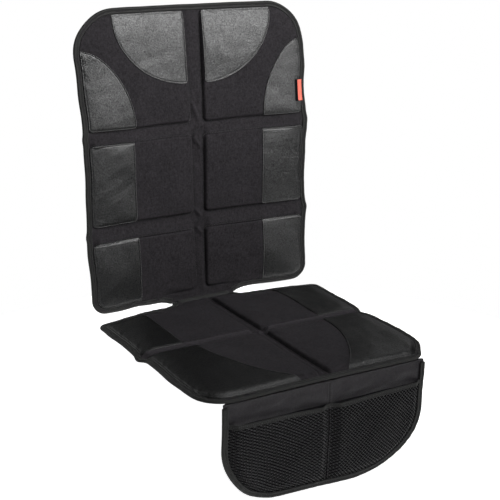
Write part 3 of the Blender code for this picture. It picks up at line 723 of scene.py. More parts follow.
def woven(name, rgb, rough=0.85, period=0.0011, sheen=0.25, depth_m=0.00012, spread=0.38, spec=0.25, painted_ridge_highlight=None):
    m, nt, b = base_material(name, rgb, rough)
    b.inputs["Specular IOR Level"].default_value = spec
    b.inputs["Sheen Weight"].default_value = sheen
    b.inputs["Sheen Roughness"].default_value = 0.45
    b.inputs["Sheen Tint"].default_value = (0.86, 0.82, 0.90, 1)
    tc = nt.nodes.new("ShaderNodeTexCoord")
    sep = nt.nodes.new("ShaderNodeSeparateXYZ")
    nt.links.new(tc.outputs["UV"], sep.inputs[0])
    k = 2 * math.pi / period
    su = math_node(nt, "SINE", math_node(nt, "MULTIPLY", sep.outputs[0], k))
    ss = math_node(nt, "SINE", math_node(nt, "MULTIPLY", sep.outputs[1], k))
    weave = math_node(nt, "MULTIPLY", su, ss)
    fibre = node(nt, "ShaderNodeTexNoise", Scale=1100.0, Detail=3.0, Roughness=0.6)
    nt.links.new(tc.outputs["Object"], fibre.inputs["Vector"])
    big = node(nt, "ShaderNodeTexNoise", Scale=22.0, Detail=4.0, Roughness=0.55)
    nt.links.new(tc.outputs["Object"], big.inputs["Vector"])
    h = math_node(nt, "ADD", math_node(nt, "MULTIPLY", weave, 0.6), fibre.outputs["Fac"])
    bump = node(nt, "ShaderNodeBump", Strength=0.8, Distance=depth_m)
    nt.links.new(h, bump.inputs["Height"])
    nt.links.new(bump.outputs["Normal"], b.inputs["Normal"])
    slub = nt.nodes.new("ShaderNodeVectorMath")
    slub.operation = "MULTIPLY"
    nt.links.new(tc.outputs["UV"], slub.inputs[0])
    slub.inputs[1].default_value = (520.0, 70.0, 0.0)
    yarn = node(nt, "ShaderNodeTexNoise", Scale=1.0, Detail=2.0, Roughness=0.6)
    nt.links.new(slub.outputs[0], yarn.inputs["Vector"])
    knot = node(nt, "ShaderNodeTexNoise", Scale=420.0, Detail=2.0, Roughness=0.6)
    nt.links.new(tc.outputs["Object"], knot.inputs["Vector"])
    f = math_node(nt, "ADD", math_node(nt, "MULTIPLY", yarn.outputs["Fac"], 0.5),
                  math_node(nt, "MULTIPLY", knot.outputs["Fac"], 0.5))
    mottle = node(nt, "ShaderNodeTexNoise", Scale=210.0, Detail=2.0, Roughness=0.7)
    nt.links.new(tc.outputs["Object"], mottle.inputs["Vector"])
    f = math_node(nt, "ADD", math_node(nt, "MULTIPLY", f, 0.45), math_node(nt, "MULTIPLY", mottle.outputs["Fac"], 0.40))
    f = math_node(nt, "ADD", f, math_node(nt, "MULTIPLY", big.outputs["Fac"], 0.15))
    f = math_node(nt, "ADD", math_node(nt, "MULTIPLY", f, 2.4), -0.70)
    if painted_ridge_highlight is not None:
        # painted highlight: the cloth's colour is made lighter along a band at this s, the seat's raised cross-channel
        # ridge, to stand in for the light catching it
        away = math_node(nt, "ABSOLUTE", math_node(nt, "ADD", sep.outputs[1], -painted_ridge_highlight))
        away = math_node(nt, "MINIMUM", math_node(nt, "MULTIPLY", away, 150.0), 1.0)
        f = math_node(nt, "ADD", f, math_node(nt, "ADD", math_node(nt, "MULTIPLY", away, -0.60), 0.60))
    tinted(nt, b, rgb, f, 1 - spread * 2, 1 + spread * 2)
    return m


def leather(name, rgb, rough=0.42, grain=520.0, depth_m=0.00055, gloss=(0.24, 0.94)):
    m, nt, b = base_material(name, rgb, rough)
    tc = nt.nodes.new("ShaderNodeTexCoord")
    warp = node(nt, "ShaderNodeTexNoise", Scale=180.0, Detail=2.0)
    nt.links.new(tc.outputs["Object"], warp.inputs["Vector"])
    off = nt.nodes.new("ShaderNodeVectorMath")
    off.operation = "MULTIPLY_ADD"
    nt.links.new(warp.outputs["Color"], off.inputs[0])
    off.inputs[1].default_value = (0.0016, 0.0016, 0.0016)
    nt.links.new(tc.outputs["Object"], off.inputs[2])
    cell = node(nt, "ShaderNodeTexVoronoi", Scale=grain, feature="DISTANCE_TO_EDGE")
    nt.links.new(off.outputs[0], cell.inputs["Vector"])
    cell2 = node(nt, "ShaderNodeTexVoronoi", Scale=grain * 0.48, feature="F1")
    nt.links.new(off.outputs[0], cell2.inputs["Vector"])
    fine = node(nt, "ShaderNodeTexNoise", Scale=1500.0, Detail=2.0)
    nt.links.new(tc.outputs["Object"], fine.inputs["Vector"])
    big = node(nt, "ShaderNodeTexNoise", Scale=14.0, Detail=3.0)
    nt.links.new(tc.outputs["Object"], big.inputs["Vector"])
    edge = math_node(nt, "MINIMUM", math_node(nt, "MULTIPLY", cell.outputs["Distance"], 5.0), 1.0)
    h = math_node(nt, "ADD", math_node(nt, "MULTIPLY", edge, 0.55), math_node(nt, "MULTIPLY", cell2.outputs["Distance"], 0.45))
    h = math_node(nt, "ADD", h, math_node(nt, "MULTIPLY", fine.outputs["Fac"], 0.18))
    bump = node(nt, "ShaderNodeBump", Strength=0.75, Distance=depth_m)
    nt.links.new(h, bump.inputs["Height"])
    nt.links.new(bump.outputs["Normal"], b.inputs["Normal"])
    speck = node(nt, "ShaderNodeTexNoise", Scale=430.0, Detail=2.5, Roughness=0.7)
    nt.links.new(tc.outputs["Object"], speck.inputs["Vector"])
    sr = nt.nodes.new("ShaderNodeMapRange")
    nt.links.new(speck.outputs["Fac"], sr.inputs[0])
    for i, v in ((1, 0.30), (2, 0.70), (3, gloss[0]), (4, gloss[1])):
        sr.inputs[i].default_value = v
    nt.links.new(sr.outputs[0], b.inputs["Specular IOR Level"])
    r = math_node(nt, "ADD", math_node(nt, "MULTIPLY", big.outputs["Fac"], 0.10),
                  math_node(nt, "MULTIPLY", fine.outputs["Fac"], 0.14))
    nt.links.new(math_node(nt, "ADD", r, rough - 0.12), b.inputs["Roughness"])
    tinted(nt, b, rgb, edge, 0.55, 1.2)
    return m


def ribbed(name, rgb, rough=0.7, rib=0.0012, sheen=0.2, depth_m=0.00012, spec=0.3):
    """woven tape: fine ribs across its length"""
    m, nt, b = base_material(name, rgb, rough)
    b.inputs["Specular IOR Level"].default_value = spec
    b.inputs["Sheen Weight"].default_value = sheen
    b.inputs["Sheen Roughness"].default_value = 0.4
    tc = nt.nodes.new("ShaderNodeTexCoord")
    sep = nt.nodes.new("ShaderNodeSeparateXYZ")
    nt.links.new(tc.outputs["UV"], sep.inputs[0])
    su = math_node(nt, "SINE", math_node(nt, "MULTIPLY", sep.outputs[0], 2 * math.pi / rib))
    ss = math_node(nt, "SINE", math_node(nt, "MULTIPLY", sep.outputs[1], 2 * math.pi / (rib * 0.8)))
    fibre = node(nt, "ShaderNodeTexNoise", Scale=900.0, Detail=3.0)
    nt.links.new(tc.outputs["Object"], fibre.inputs["Vector"])
    h = math_node(nt, "ADD", math_node(nt, "MULTIPLY", su, 0.5), math_node(nt, "MULTIPLY", ss, 0.2))
    h = math_node(nt, "ADD", h, math_node(nt, "MULTIPLY", fibre.outputs["Fac"], 0.8))
    bump = node(nt, "ShaderNodeBump", Strength=0.8, Distance=depth_m)
    nt.links.new(h, bump.inputs["Height"])
    nt.links.new(bump.outputs["Normal"], b.inputs["Normal"])
    tinted(nt, b, rgb, fibre.outputs["Fac"], 0.72, 1.28)
    return m


def thread(name, rgb, rough=0.55):
    m, nt, b = base_material(name, rgb, rough)
    b.inputs["Specular IOR Level"].default_value = 0.35
    b.inputs["Sheen Weight"].default_value = 0.2
    tc = nt.nodes.new("ShaderNodeTexCoord")
    w = node(nt, "ShaderNodeTexNoise", Scale=1600.0, Detail=2.0)
    nt.links.new(tc.outputs["Object"], w.inputs["Vector"])
    bump = node(nt, "ShaderNodeBump", Strength=0.6, Distance=0.0001)
    nt.links.new(w.outputs["Fac"], bump.inputs["Height"])
    nt.links.new(bump.outputs["Normal"], b.inputs["Normal"])
    tinted(nt, b, rgb, w.outputs["Fac"], 0.7, 1.3)
    return m


# CLOTH carries a painted highlight: a lighter band of colour along the seat's cross-channel ridge
CLOTH = woven("woven_cloth", (0.0172, 0.0155, 0.0176), sheen=0.02, spec=0.15, spread=0.40, painted_ridge_highlight=SEAT_TOP + 0.1828)
FLAP_CLOTH = woven("flap_cloth_weave", (0.0120, 0.0104, 0.0125), rough=0.5, sheen=0.05, spec=0.28)
VINYL = leather("grained_vinyl", (0.0065, 0.0067, 0.0068), rough=0.37, grain=420.0, depth_m=0.00034)
# painted shade: the seat patches use a darker, less glossy copy of the same grained vinyl, so they come out darker than
# the back's patches
VINYL_SEAT_SHADED = leather("grained_vinyl_seat_painted_shade", (0.0052, 0.0054, 0.0055), rough=0.42, grain=420.0, depth_m=0.00034, gloss=(0.14, 0.60))
TAPE = ribbed("binding_tape", (0.0112, 0.0114, 0.0108), sheen=0.05)
THREAD = thread("dark_thread", (0.010, 0.010, 0.010), rough=0.8)
# near-black channel thread: real stitching that also stands in as painted shade for the dark lines at the blocks' feet
SEAM_THREAD_AND_SHADE = thread("seam_thread_painted_shade", (0.0022, 0.0022, 0.0024), rough=0.9)
# pale thread; along the back's patch edges it is also a painted highlight standing in for the patch rims catching the
# light
PALE_THREAD_AND_RIM_HIGHLIGHT = thread("pale_thread_and_rim_highlight", (0.22, 0.22, 0.22))
NETTING = thread("net_thread", (0.0185, 0.0185, 0.0200), rough=0.5)
# painted shade: near-black cloth colour for the sheet that stands in for the shade inside the pockets
POCKET_SHADE_SHEET = woven("pocket_painted_shade", (0.0035, 0.0033, 0.0040), rough=0.9, sheen=0.0, spec=0.1)
BACKER = woven("grip_backing", (0.034, 0.034, 0.036), rough=0.8, period=0.0016)
GRIP = thread("grip_dots", (0.055, 0.055, 0.057), rough=0.5)
ELASTIC = ribbed("elastic_webbing", (0.012, 0.012, 0.013), rib=0.0018, depth_m=0.0002)
RIBBON = ribbed("tab_ribbon", (0.78, 0.165, 0.115), rough=0.6, rib=0.0008, sheen=0.1)
# painted shadow: a near-black strip beside the orange tab stands in for the shadow at its left side
TAB_SHADOW_STRIP = ribbed("tab_painted_shadow", (0.0030, 0.0030, 0.0034), rough=0.85, rib=0.0008, sheen=0.0, spec=0.1)


def keep(ob, slot, *nodes):
    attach(ob, "root")
    if nodes:
        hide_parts(*nodes)
    return ob


# ------------------------------------------------------------ quilted panels
RINGS = (-0.0042, -0.0026, -0.0013, -0.0005, 0.0, 0.0005, 0.0011, 0.0018, 0.0027, 0.0038, 0.0052, 0.0070)


def panel_rings(keys):
    return [(PADS[key], FIELD[key], RINGS) for key in keys]


def crossing_points():
    """extra points where the cloth gathers"""
    out = []
    for cu, cs in CROSSINGS:
        out.append(hexes((cu - 0.016, cs - 0.06), (cu + 0.016, cs + 0.045), 0.0016))
    out.append(hexes((-0.012, 0.50), (0.012, 0.560), 0.0018))
    return np.vstack(out)


def cut(edge, d, s_seam):
    """panel outline inside its tape, moved inwards by d"""
    p = edge if area(edge) > 0 else edge[::-1]
    q = ring(resample(p, 0.0025, True), d)
    return q


STEP = 0.0043
back_keys = [k + s for k in ("back_upper", "back_middle", "back_lower") for s in ("_left", "_right")]
seat_keys = [k + s for k in ("seat_rear", "seat_front") for s in ("_left", "_right")]
EDGE = 0.0020
back_border = ring(resample(BACK_EDGE, 0.0028, True), EDGE)
tongue = (np.abs(back_border[:, 0]) < WEB_HALF - 0.0012) & (back_border[:, 1] > SEAM - 0.0045)
back_border[tongue, 1] = SEAM + 0.0004
seat_border = ring(resample(SEAT_EDGE, 0.0028, True), EDGE)
tongue = (np.abs(seat_border[:, 0]) < WEB_HALF - 0.0012) & (seat_border[:, 1] < SEAM + 0.0045)
seat_border[tongue, 1] = SEAM - 0.0002

extra = crossing_points()
bend_pts = hexes((-0.066, SEAM - 0.012), (0.066, SEAM + 0.016), 0.0018)
back_quilt = keep(layer("back_quilt", back_border, panel_rings(back_keys), quilt_height, lambda V: np.full(len(V), -0.0014),
                        put, CLOTH, step=STEP, extra=np.vstack([extra, bend_pts])),
                  "woven_cloth", "back_face_cloth", *["foam_" + k for k in back_keys])
seat_quilt = keep(layer("seat_quilt", seat_border, panel_rings(seat_keys), quilt_height, lambda V: np.full(len(V), -0.0014),
                        put, CLOTH, step=STEP, extra=np.vstack([extra, bend_pts])),
                  "woven_cloth", "seat_face_cloth", *["foam_" + k for k in seat_keys])

# ------------------------------------------------------------ vinyl patches
U_IN = 0.1385


def quarter(cu, cs, a, b, power, n=26):
    t = np.radians(np.linspace(0, 90, n + 1))
    return [(cu + a * math.cos(x) ** power, cs + b * math.sin(x) ** power) for x in t]


def rounded(p, r, at):
    """round the corner with index at of a loop, radius about r"""
    p = [np.array(x) for x in p]
    a, c, b = p[at - 1], p[at], p[(at + 1) % len(p)]
    da, db = (a - c) / np.linalg.norm(a - c), (b - c) / np.linalg.norm(b - c)
    p0, p1 = c + da * r, c + db * r
    cur = [(1 - t) ** 2 * p0 + 2 * t * (1 - t) * c + t * t * p1 for t in np.linspace(0, 1, 6)]
    return [tuple(x) for x in p[:at]] + [tuple(x) for x in cur] + [tuple(x) for x in p[at + 1:]]


def scoop(side):
    c = 0.0195 if side < 0 else 0.0180
    a = 0.146 if side < 0 else 0.1465
    top = 0.0115
    p = [(c, top)] + quarter(c, top, a, 0.1350, 0.98)
    return rounded(p, 0.007, len(p) - 1)


def shoulder(side):
    w = 0.0975 if side < 0 else 0.0870
    h = 0.146
    p = quarter(0.2290, ROW1_END - 0.0008, -w, -h, 1.12)
    p = p + [(0.26, ROW1_END - 0.0008 - h), (0.26, ROW1_END - 0.0008)]
    return rounded(p, 0.005, 0)


def side_panel(s0, s1, u0, r=0.006):
    return [(u0, s0), (0.26, s0), (0.26, s1)] + arc(u0 + r, s1 - r, r, r, 90, 180, 5)


def front_curve():
    s0, s1 = SEAT_ROW2[0] - 0.01, SEAT_ROW2[1] + 0.02
    p = []
    for s in np.linspace(s0, s1, 24):
        rel = max(0.0, s - SEAT_TOP - 0.19)
        p.append((0.136 - 0.098 * (rel / 0.221) ** 2.1, s))
    return p + [(0.26, s1), (0.26, s0)]


def clip_loop(shape, limit, step=0.0022):
    """outline of the overlap of two simple loops, found on a fine grid of
    angles: both loops are star-shaped about the overlap's middle"""
    sh, li = resample(shape, 0.0008, True), resample(limit, 0.0008, True)
    pts = np.vstack([sh[depth(sh, li) > -1e-5], li[depth(li, sh) > -1e-5]])
    c = pts.mean(0)
    lo, hi = pts.min(0), pts.max(0)
    c = 0.5 * c + 0.25 * (lo + hi)
    ang = np.arctan2(pts[:, 1] - c[1], pts[:, 0] - c[0])
    pts = pts[np.argsort(ang)]
    return resample(pts, step, True)


def bead(e):
    """profile of a sewn patch edge: rounded edge, stitch groove, then flat"""
    t = 0.0007 * np.sqrt(np.clip(1 - (1 - np.clip(e / 0.0011, 0, 1)) ** 2, 0, 1))
    t = t + 0.00045 * gauss(e - 0.0011, 0.0008)
    return t - 0.00050 * gauss(e - 0.0026, 0.0006)


PATCH_LINES = {}
for key, pad, shape_fn in (("patch_headrest", "back_upper", scoop), ("patch_shoulder", "back_upper", shoulder),
                           ("patch_back_middle", "back_middle", lambda s: side_panel(0.20, ROW2[1] - 0.0010, U_IN - 0.001 if s < 0 else U_IN)),
                           ("patch_back_lower", "back_lower", lambda s: side_panel(0.40, 0.60, U_IN - 0.004 if s < 0 else U_IN, 0.002)),
                           ("patch_seat_rear", "seat_rear", lambda s: side_panel(0.55, SEAT_ROW1_END - 0.0010, 0.1510 if s < 0 else 0.1370, 0.002)),
                           ("patch_seat_front", "seat_front", lambda s: front_curve())):
    for sign, side in ((-1, "left"), (1, "right")):
        shape = shape_fn(sign)
        if sign < 0:
            shape = flip(shape)
        foot = PADS["%s_%s" % (pad, side)]
        limit = ring(pushed(foot, edge_of(pad), 0.0007), 0.0006)
        loop = clip_loop(shape, limit)
        sewn = resample(shape, 0.0022, True)
        on_shape = lambda V, q=sewn: seg_distance(V, q)
        rings = [(loop, lambda V, q=loop: depth(V, q), (0.0005, 0.0010, 0.0016, 0.0022, 0.0027, 0.0034, 0.0046, 0.0062))]

        def top(V, lp=loop, part=pad[:4]):
            inner = smooth(EDGE_FIELD[part](V), 0.0128, 0.0165)
            return quilt_height(V) + 0.00015 + bead(seg_distance(V, lp)) * (0.35 + 0.65 * inner)

        ob = layer("vinyl_%s_%s" % (key[6:], side), loop, rings, top, lambda V: quilt_height(V) - 0.0004, put,
                   VINYL if pad.startswith("back") else VINYL_SEAT_SHADED,
                   step=0.0038)
        keep(ob, "vinyl", "%s_%s" % (key, side))
        d = seg_distance(loop, sewn)
        sew = ring(loop, 0.0008)
        # no thread where the patch runs in under the edge tape
        m = EDGE_FIELD[pad[:4]](loop) > 0.0150
        if m.any():
            runs = np.split(np.arange(len(m)), np.where(np.diff(m.astype(int)) != 0)[0] + 1)
            runs = [r for r in runs if m[r[0]] and len(r) > 3]
            if len(runs) > 1 and runs[0][0] == 0 and runs[-1][-1] == len(m) - 1:
                runs = [np.concatenate([runs[-1], runs[0]])] + runs[1:-1]
            PATCH_LINES["%s_%s" % (key, side)] = [sew[r] for r in runs]


def patch_thread_height(V):
    return quilt_height(V) + 0.00145


lines = [l for k, ls in PATCH_LINES.items() if "seat" not in k for l in ls]
seat_lines = [l for k, ls in PATCH_LINES.items() if "seat" in k for l in ls]
keep(stitches("patch_stitches_seat", seat_lines, put, patch_thread_height, THREAD, pitch=0.0032, length=0.0027, r=0.00030), "vinyl")
# painted highlight: the back's patch stitches are pale so that they draw a light line where the patch rims catch the
# light
keep(stitches("patch_stitches", lines, put, patch_thread_height, PALE_THREAD_AND_RIM_HIGHLIGHT, pitch=0.0032, length=0.0027, r=0.00030), "vinyl")

# ------------------------------------------------------------ edge tape
LOW = -0.0027
SECTION = [(0.0108, 0.0002), (0.0110, 0.0012), (0.0102, 0.0019), (0.0091, 0.0021), (0.0080, 0.0017), (0.0071, 0.0011),
           (0.0062, 0.0010), (0.0053, 0.0016), (0.0042, 0.0022), (0.0028, 0.0024), (0.0015, 0.0019), (0.0005, 0.0010),
           (0.0000, -0.0004), (0.0002, -0.0018), (0.0008, -0.0028), (0.0018, -0.0035), (0.0035, -0.0038), (0.0056, -0.0036),
           (0.0064, -0.0034), (0.0072, -0.0036), (0.0090, -0.0038), (0.0110, -0.0037), (0.0110, LOW), (0.0022, LOW),
           (0.0016, -0.0012), (0.0022, 0.0002)]


def oriented(right):
    p = resample(whole(right), 0.0025, False)
    q = p + path_normals(p, False) * 0.02
    return p if inside(q[len(q) // 2:len(q) // 2 + 1], p)[0] else p[::-1]


BACK_PATH = oriented(back_right())
SEAT_PATH = oriented(seat_right())
keep(sweep("back_edge_tape", BACK_PATH, SECTION, put, TAPE, wobble=0.0005, seed=21), "binding_tape", "back_edge_binding")
keep(sweep("seat_edge_tape", SEAT_PATH, SECTION, put, TAPE, wobble=0.0005, seed=31), "binding_tape", "seat_edge_binding")


def offset_open(p, d):
    return p + path_normals(p, False) * d


keep(stitches("edge_stitches", [offset_open(BACK_PATH, 0.0066), offset_open(SEAT_PATH, 0.0066)], put,
              lambda V: np.full(len(V), 0.0010), THREAD), "binding_tape")
keep(stitches("edge_stitches_under", [offset_open(BACK_PATH, 0.0064), offset_open(SEAT_PATH, 0.0064)], put,
              lambda V: np.full(len(V), -0.0037), THREAD), "binding_tape")

# quilting stitches in the channels, beside each block; the thread is near-black, thick and almost continuous, so it
# also draws painted shade: the dark line at the foot of each block
chan = []
for key in back_keys + seat_keys:
    l = ring(PADS[key], -0.0010)
    l = np.vstack([l, l[:1]])
    edge = BACK_EDGE if key.startswith("back") else SEAT_EDGE
    far = (depth(l, edge) > 0.0125) & ~((l[:, 1] > 0.528) & (l[:, 1] < SEAM))
    runs = np.split(np.arange(len(far)), np.where(np.diff(far.astype(int)) != 0)[0] + 1)
    chan += [l[r] for r in runs if far[r[0]] and len(r) > 3]
keep(stitches("channel_stitches", chan, put, lambda V: quilt_height(V) + 0.00005, SEAM_THREAD_AND_SHADE, length=0.0033, r=0.00056), "woven_cloth")

# ------------------------------------------------------------ crease
CREASE_U = WEB_HALF - TAPE_W - 0.0006
cr = [(e - 0.0050, h) for e, h in ((0.0, 0.0004), (0.0004, 0.0015), (0.0022, 0.0018), (0.0034, 0.0021), (0.0046, 0.0036),
                                     (0.0058, 0.0042), (0.0070, 0.0034), (0.0080, 0.0019), (0.0112, 0.0012), (0.0116, -0.0006), (0.0, -0.0006))]


def put_crease(u, s, h):
    return put(u, s + 0.0008 * np.sin(u * 95.0), h + 0.0004 * np.sin(u * 130.0 + 0.4) - 0.0010 * gauss(u, 0.006))


keep(sweep("crease_tape", [(CREASE_U, SEAM + 0.0010), (-CREASE_U, SEAM + 0.0010)], [(-e, h) for e, h in cr][::-1], put_crease, TAPE,
           wobble=0.0003, seed=9, step=0.0018), "binding_tape", "crease_seam_tape")

# ------------------------------------------------------------ backing
def plain(value):
    return lambda V: np.full(len(V), value)


def backing(name, border, edge, node_name):
    loop = resample(edge, 0.0028, True)

    def low(V):
        e = depth(V, edge)
        press = 1 - smooth(e, 0.0112, 0.0135)
        web = np.abs(V[:, 0]) < WEB_HALF - 0.002
        near = (V[:, 1] > SEAM - 0.025) & (V[:, 1] < SEAM + 0.02)
        press = np.where(web & near, 0.0, press)
        return -BASE + 0.0016 * press + wander(V[:, 0], V[:, 1], 77, 0.05, 0.0001) * (1 - press) + 0.0001

    ob = layer(name, border, [(loop, lambda V: depth(V, loop), (0.0112, 0.0122))], plain(-0.0015), low, put, BACKER, step=0.006, lines=())
    return keep(ob, "backing", node_name)


bb = ring(resample(BACK_EDGE, 0.0028, True), 0.0026)
t_ = (np.abs(bb[:, 0]) < WEB_HALF - 0.0016) & (bb[:, 1] > SEAM - 0.005)
bb[t_, 1] = SEAM - 0.0003
sb = ring(resample(SEAT_EDGE, 0.0028, True), 0.0026)
t_ = (np.abs(sb[:, 0]) < WEB_HALF - 0.0016) & (sb[:, 1] < SEAM + 0.005)
sb[t_, 1] = SEAM + 0.0003
backing("back_grip_backing", bb, BACK_EDGE, "back_backing")
backing("seat_grip_backing", sb, SEAT_EDGE, "seat_backing")


def dots(name, edge, lo, hi, skip=None, pitch=0.0100, r=0.0020, tall=0.0007):
    c = hexes(lo, hi, pitch)
    c = c[depth(c, edge) > 0.0165]
    if skip is not None:
        c = c[~skip(c)]
    n = 7
    verts, faces = [], []
    rows = ((1.0, 0.0), (0.66, 0.84))
    ang = np.arange(n) * 2 * math.pi / n
    parts = []
    for k, hh in rows:
        U = c[:, 0:1] + r * k * np.cos(ang)
        S = c[:, 1:2] + r * k * np.sin(ang)
        parts.append(put(U.ravel(), S.ravel(), -BASE + 0.0003 - (tall + 0.0003) * hh).reshape(len(c), n, 3))
    parts.append(put(c[:, 0], c[:, 1], np.full(len(c), -BASE - tall))[:, None, :])
    V = np.concatenate(parts, 1)
    m = V.shape[1]
    f = []
    for i in range(n):
        a, b = i, (i + 1) % n
        f.append([a, a + n, b + n, b])
    quads = np.array(f)
    tris = np.array([[n + i, 2 * n, n + (i + 1) % n] for i in range(n)])
    base = (np.arange(len(c)) * m)[:, None, None]
    faces = (base + quads[None]).reshape(-1, 4).tolist() + (base + tris[None]).reshape(-1, 3).tolist()
    faces += (base[:, :, 0] + np.arange(n)[None, :]).tolist()
    uv = np.repeat(c, m, 0)
    return keep(new_mesh(name, V.reshape(-1, 3), faces, GRIP, uv), "backing")


dots("back_grip_dots", BACK_EDGE, (-0.24, 0.0), (0.24, 0.56),
     skip=lambda c: (c[:, 1] > 0.064) & (c[:, 1] < 0.114) & (np.abs(c[:, 0]) < 0.221))
dots("seat_grip_dots", SEAT_EDGE, (-0.24, SEAT_TOP - 0.01), (0.24, SEAT_END))

# ------------------------------------------------------------ strap
sec = [(-0.019, -0.0045), (-0.0187, -0.0057), (-0.012, -0.0061), (0.0, -0.0062), (0.012, -0.0061), (0.0187, -0.0057),
       (0.019, -0.0045), (0.012, -0.0044), (-0.012, -0.0044)]
keep(sweep("rear_strap", [(-0.215, 0.089), (0.215, 0.089)], sec, put, ELASTIC, wobble=0.0, step=0.004), "elastic", "headrest_strap")
box_rows = []
for sg in (-1, 1):
    x0, x1 = sg * 0.197, sg * 0.211
    box_rows += [np.array([(x0, 0.073), (x0, 0.105)]), np.array([(x1, 0.073), (x1, 0.105)]),
                 np.array([(x0, 0.074), (x1, 0.104)]), np.array([(x1, 0.074), (x0, 0.104)])]
keep(stitches("strap_stitches", box_rows, put, lambda V: np.full(len(V), -0.0063), PALE_THREAD_AND_RIM_HIGHLIGHT), "elastic")

# ------------------------------------------------------------ ribbon tab
TAPE_TOP = 0.0022
def strip_solid(name, sec_u, s0, s1, mat, n=18):
    s = np.linspace(s0, s1, n)
    m = len(sec_u)
    U = np.tile([q[0] for q in sec_u], n)
    up = np.tile([q[1] for q in sec_u], n)
    S = np.repeat(s, m)
    P = np.stack([U, S], 1)
    H = np.maximum(quilt_height(P) + 0.0012, np.where(U > 0.2275, 0.0026, 0.0)) + 0.0006 * up + 0.00015 * np.sin(S * 260.0)
    V = put(U, S, H)
    faces = []
    for i in range(n - 1):
        for j in range(m):
            a, b = i * m + j, i * m + (j + 1) % m
            faces.append([a, b, b + m, a + m])
    faces += [list(range(m))[::-1], [(n - 1) * m + j for j in range(m)]]
    return new_mesh(name, V, faces, mat, np.stack([S, U], 1), smooth_shade=False)


keep(strip_solid("ribbon_tab", [(0.2226, 1), (0.2262, 1), (0.2300, 1), (0.2326, 1), (0.2326, 0), (0.2226, 0)], 0.1545, 0.1950, RIBBON),
     "tab_ribbon", "edge_tab")
# painted shadow strip at the tab's left side
keep(strip_solid("ribbon_tab_strip", [(0.2162, 1), (0.2196, 1), (0.2224, 1), (0.2224, 0), (0.2162, 0)], 0.1535, 0.1960, TAB_SHADOW_STRIP), "tab_ribbon")

# ------------------------------------------------------------ pocket flap
FLAP_EDGE = np.array([(FLAP_HALF, -0.002)] + flap_right()[1:] + [(-u, s) for u, s in reversed(flap_right()[1:])] + [(-FLAP_HALF, -0.002)])
arc_len = FLAP_BEND * math.radians(90.0)
hem_top = FLAP_BEND - arc_len - HEM


def mouth(u):
    """top of the pocket tape, lower in the middle where the seam holds it"""
    return 0.0350 + 0.0060 * np.exp(-(u / 0.085) ** 2) + 0.0022 * smooth(u, 0.02, 0.2)


FLAP_FOLDS = [((-0.165, 0.020), (-0.075, 0.012), 0.0065, 0.0024), ((-0.130, 0.036), (-0.035, 0.022), 0.0060, 0.0018),
              ((-0.060, 0.010), (-0.010, 0.028), 0.0050, 0.0022), ((-0.016, 0.010), (-0.004, 0.036), 0.0035, 0.0018),
              ((0.020, 0.030), (0.095, 0.016), 0.0065, 0.0026), ((0.070, 0.036), (0.165, 0.022), 0.0070, 0.0024),
              ((0.120, 0.012), (0.195, 0.020), 0.0060, 0.0020), ((0.030, 0.008), (0.060, 0.022), 0.0045, 0.0014),
              ((-0.195, 0.030), (-0.150, 0.045), 0.0060, 0.0016)]


def flap_height(V):
    u, t = V[:, 0], V[:, 1]
    k = smooth(t, 0.000, 0.012)
    e = seg_distance(V, FLAP_EDGE, closed=False)
    k = k * smooth(e, 0.008, 0.022)
    h = k * (wander(u, t, 41, 0.10, 0.0010) + wander(u, t, 43, 0.045, 0.0005))
    for a, b, w, amp in FLAP_FOLDS:
        h = h + k * fold(V, a, b, w, amp)
    # vertical seam in the middle: two rolled edges and a furrow
    seam = smooth(t, 0.001, 0.006)
    x = u - 0.0025
    h = h + seam * (0.0007 * gauss(x - 0.0034, 0.0017) + 0.0007 * gauss(x + 0.0034, 0.0017) - 0.0006 * gauss(x, 0.0011))
    return h * 0.9 - 0.0004


body = resample(FLAP_EDGE, 0.0030, False)
nn = path_normals(body, False)
if not inside(body[len(body) // 2:len(body) // 2 + 1] + nn[len(body) // 2] * 0.02, FLAP_EDGE)[0]:
    nn = -nn
side_in = body + nn * 0.0022
side_in = side_in[side_in[:, 1] > -0.001]
u_side = side_in[0, 0]
hem_loop = [(math.copysign(0.2025, side_in[-1, 0]), FLAP_BEND - arc_len), (math.copysign(0.190, side_in[-1, 0]), hem_top),
            (math.copysign(0.190, u_side), hem_top), (math.copysign(0.2025, u_side), FLAP_BEND - arc_len)]
flap_border = resample(np.vstack([side_in, hem_loop]), 0.0030, True)
seam_pts = np.vstack([np.stack([np.full(60, x), np.linspace(-0.004, 0.188, 60)], 1)
                      for x in (-0.0042, -0.0026, -0.0010, 0.0008, 0.0025, 0.0042, 0.0060, 0.0076, 0.0092)])
bend = np.vstack([np.stack([np.linspace(-0.19, 0.19, 90), np.full(90, FLAP_BEND - arc_len * f)], 1) for f in (0, 0.2, 0.4, 0.6, 0.8, 1.0)])
flap_cloth = keep(layer("flap_panel", flap_border, [], flap_height, lambda V: flap_height(V) - 0.0012, put_flap, FLAP_CLOTH,
                        step=0.0036, extra=np.vstack([seam_pts, bend])), "woven_cloth", "flap_cloth")

# painted shade: a near-black sheet laid on the flap cloth behind the nets stands in for the shade inside the pockets
shade_sheet_border = resample(np.vstack([side_in[side_in[:, 1] > 0.0385] + 0.0 * side_in[side_in[:, 1] > 0.0385]]), 0.0030, True)
shade_sheet_border = ring(shade_sheet_border, 0.0016)
keep(layer("pocket_painted_shade", shade_sheet_border, [], lambda V: flap_height(V) + 0.0005, lambda V: flap_height(V) + 0.0001, put_flap, POCKET_SHADE_SHEET,
           step=0.0060), "woven_cloth")

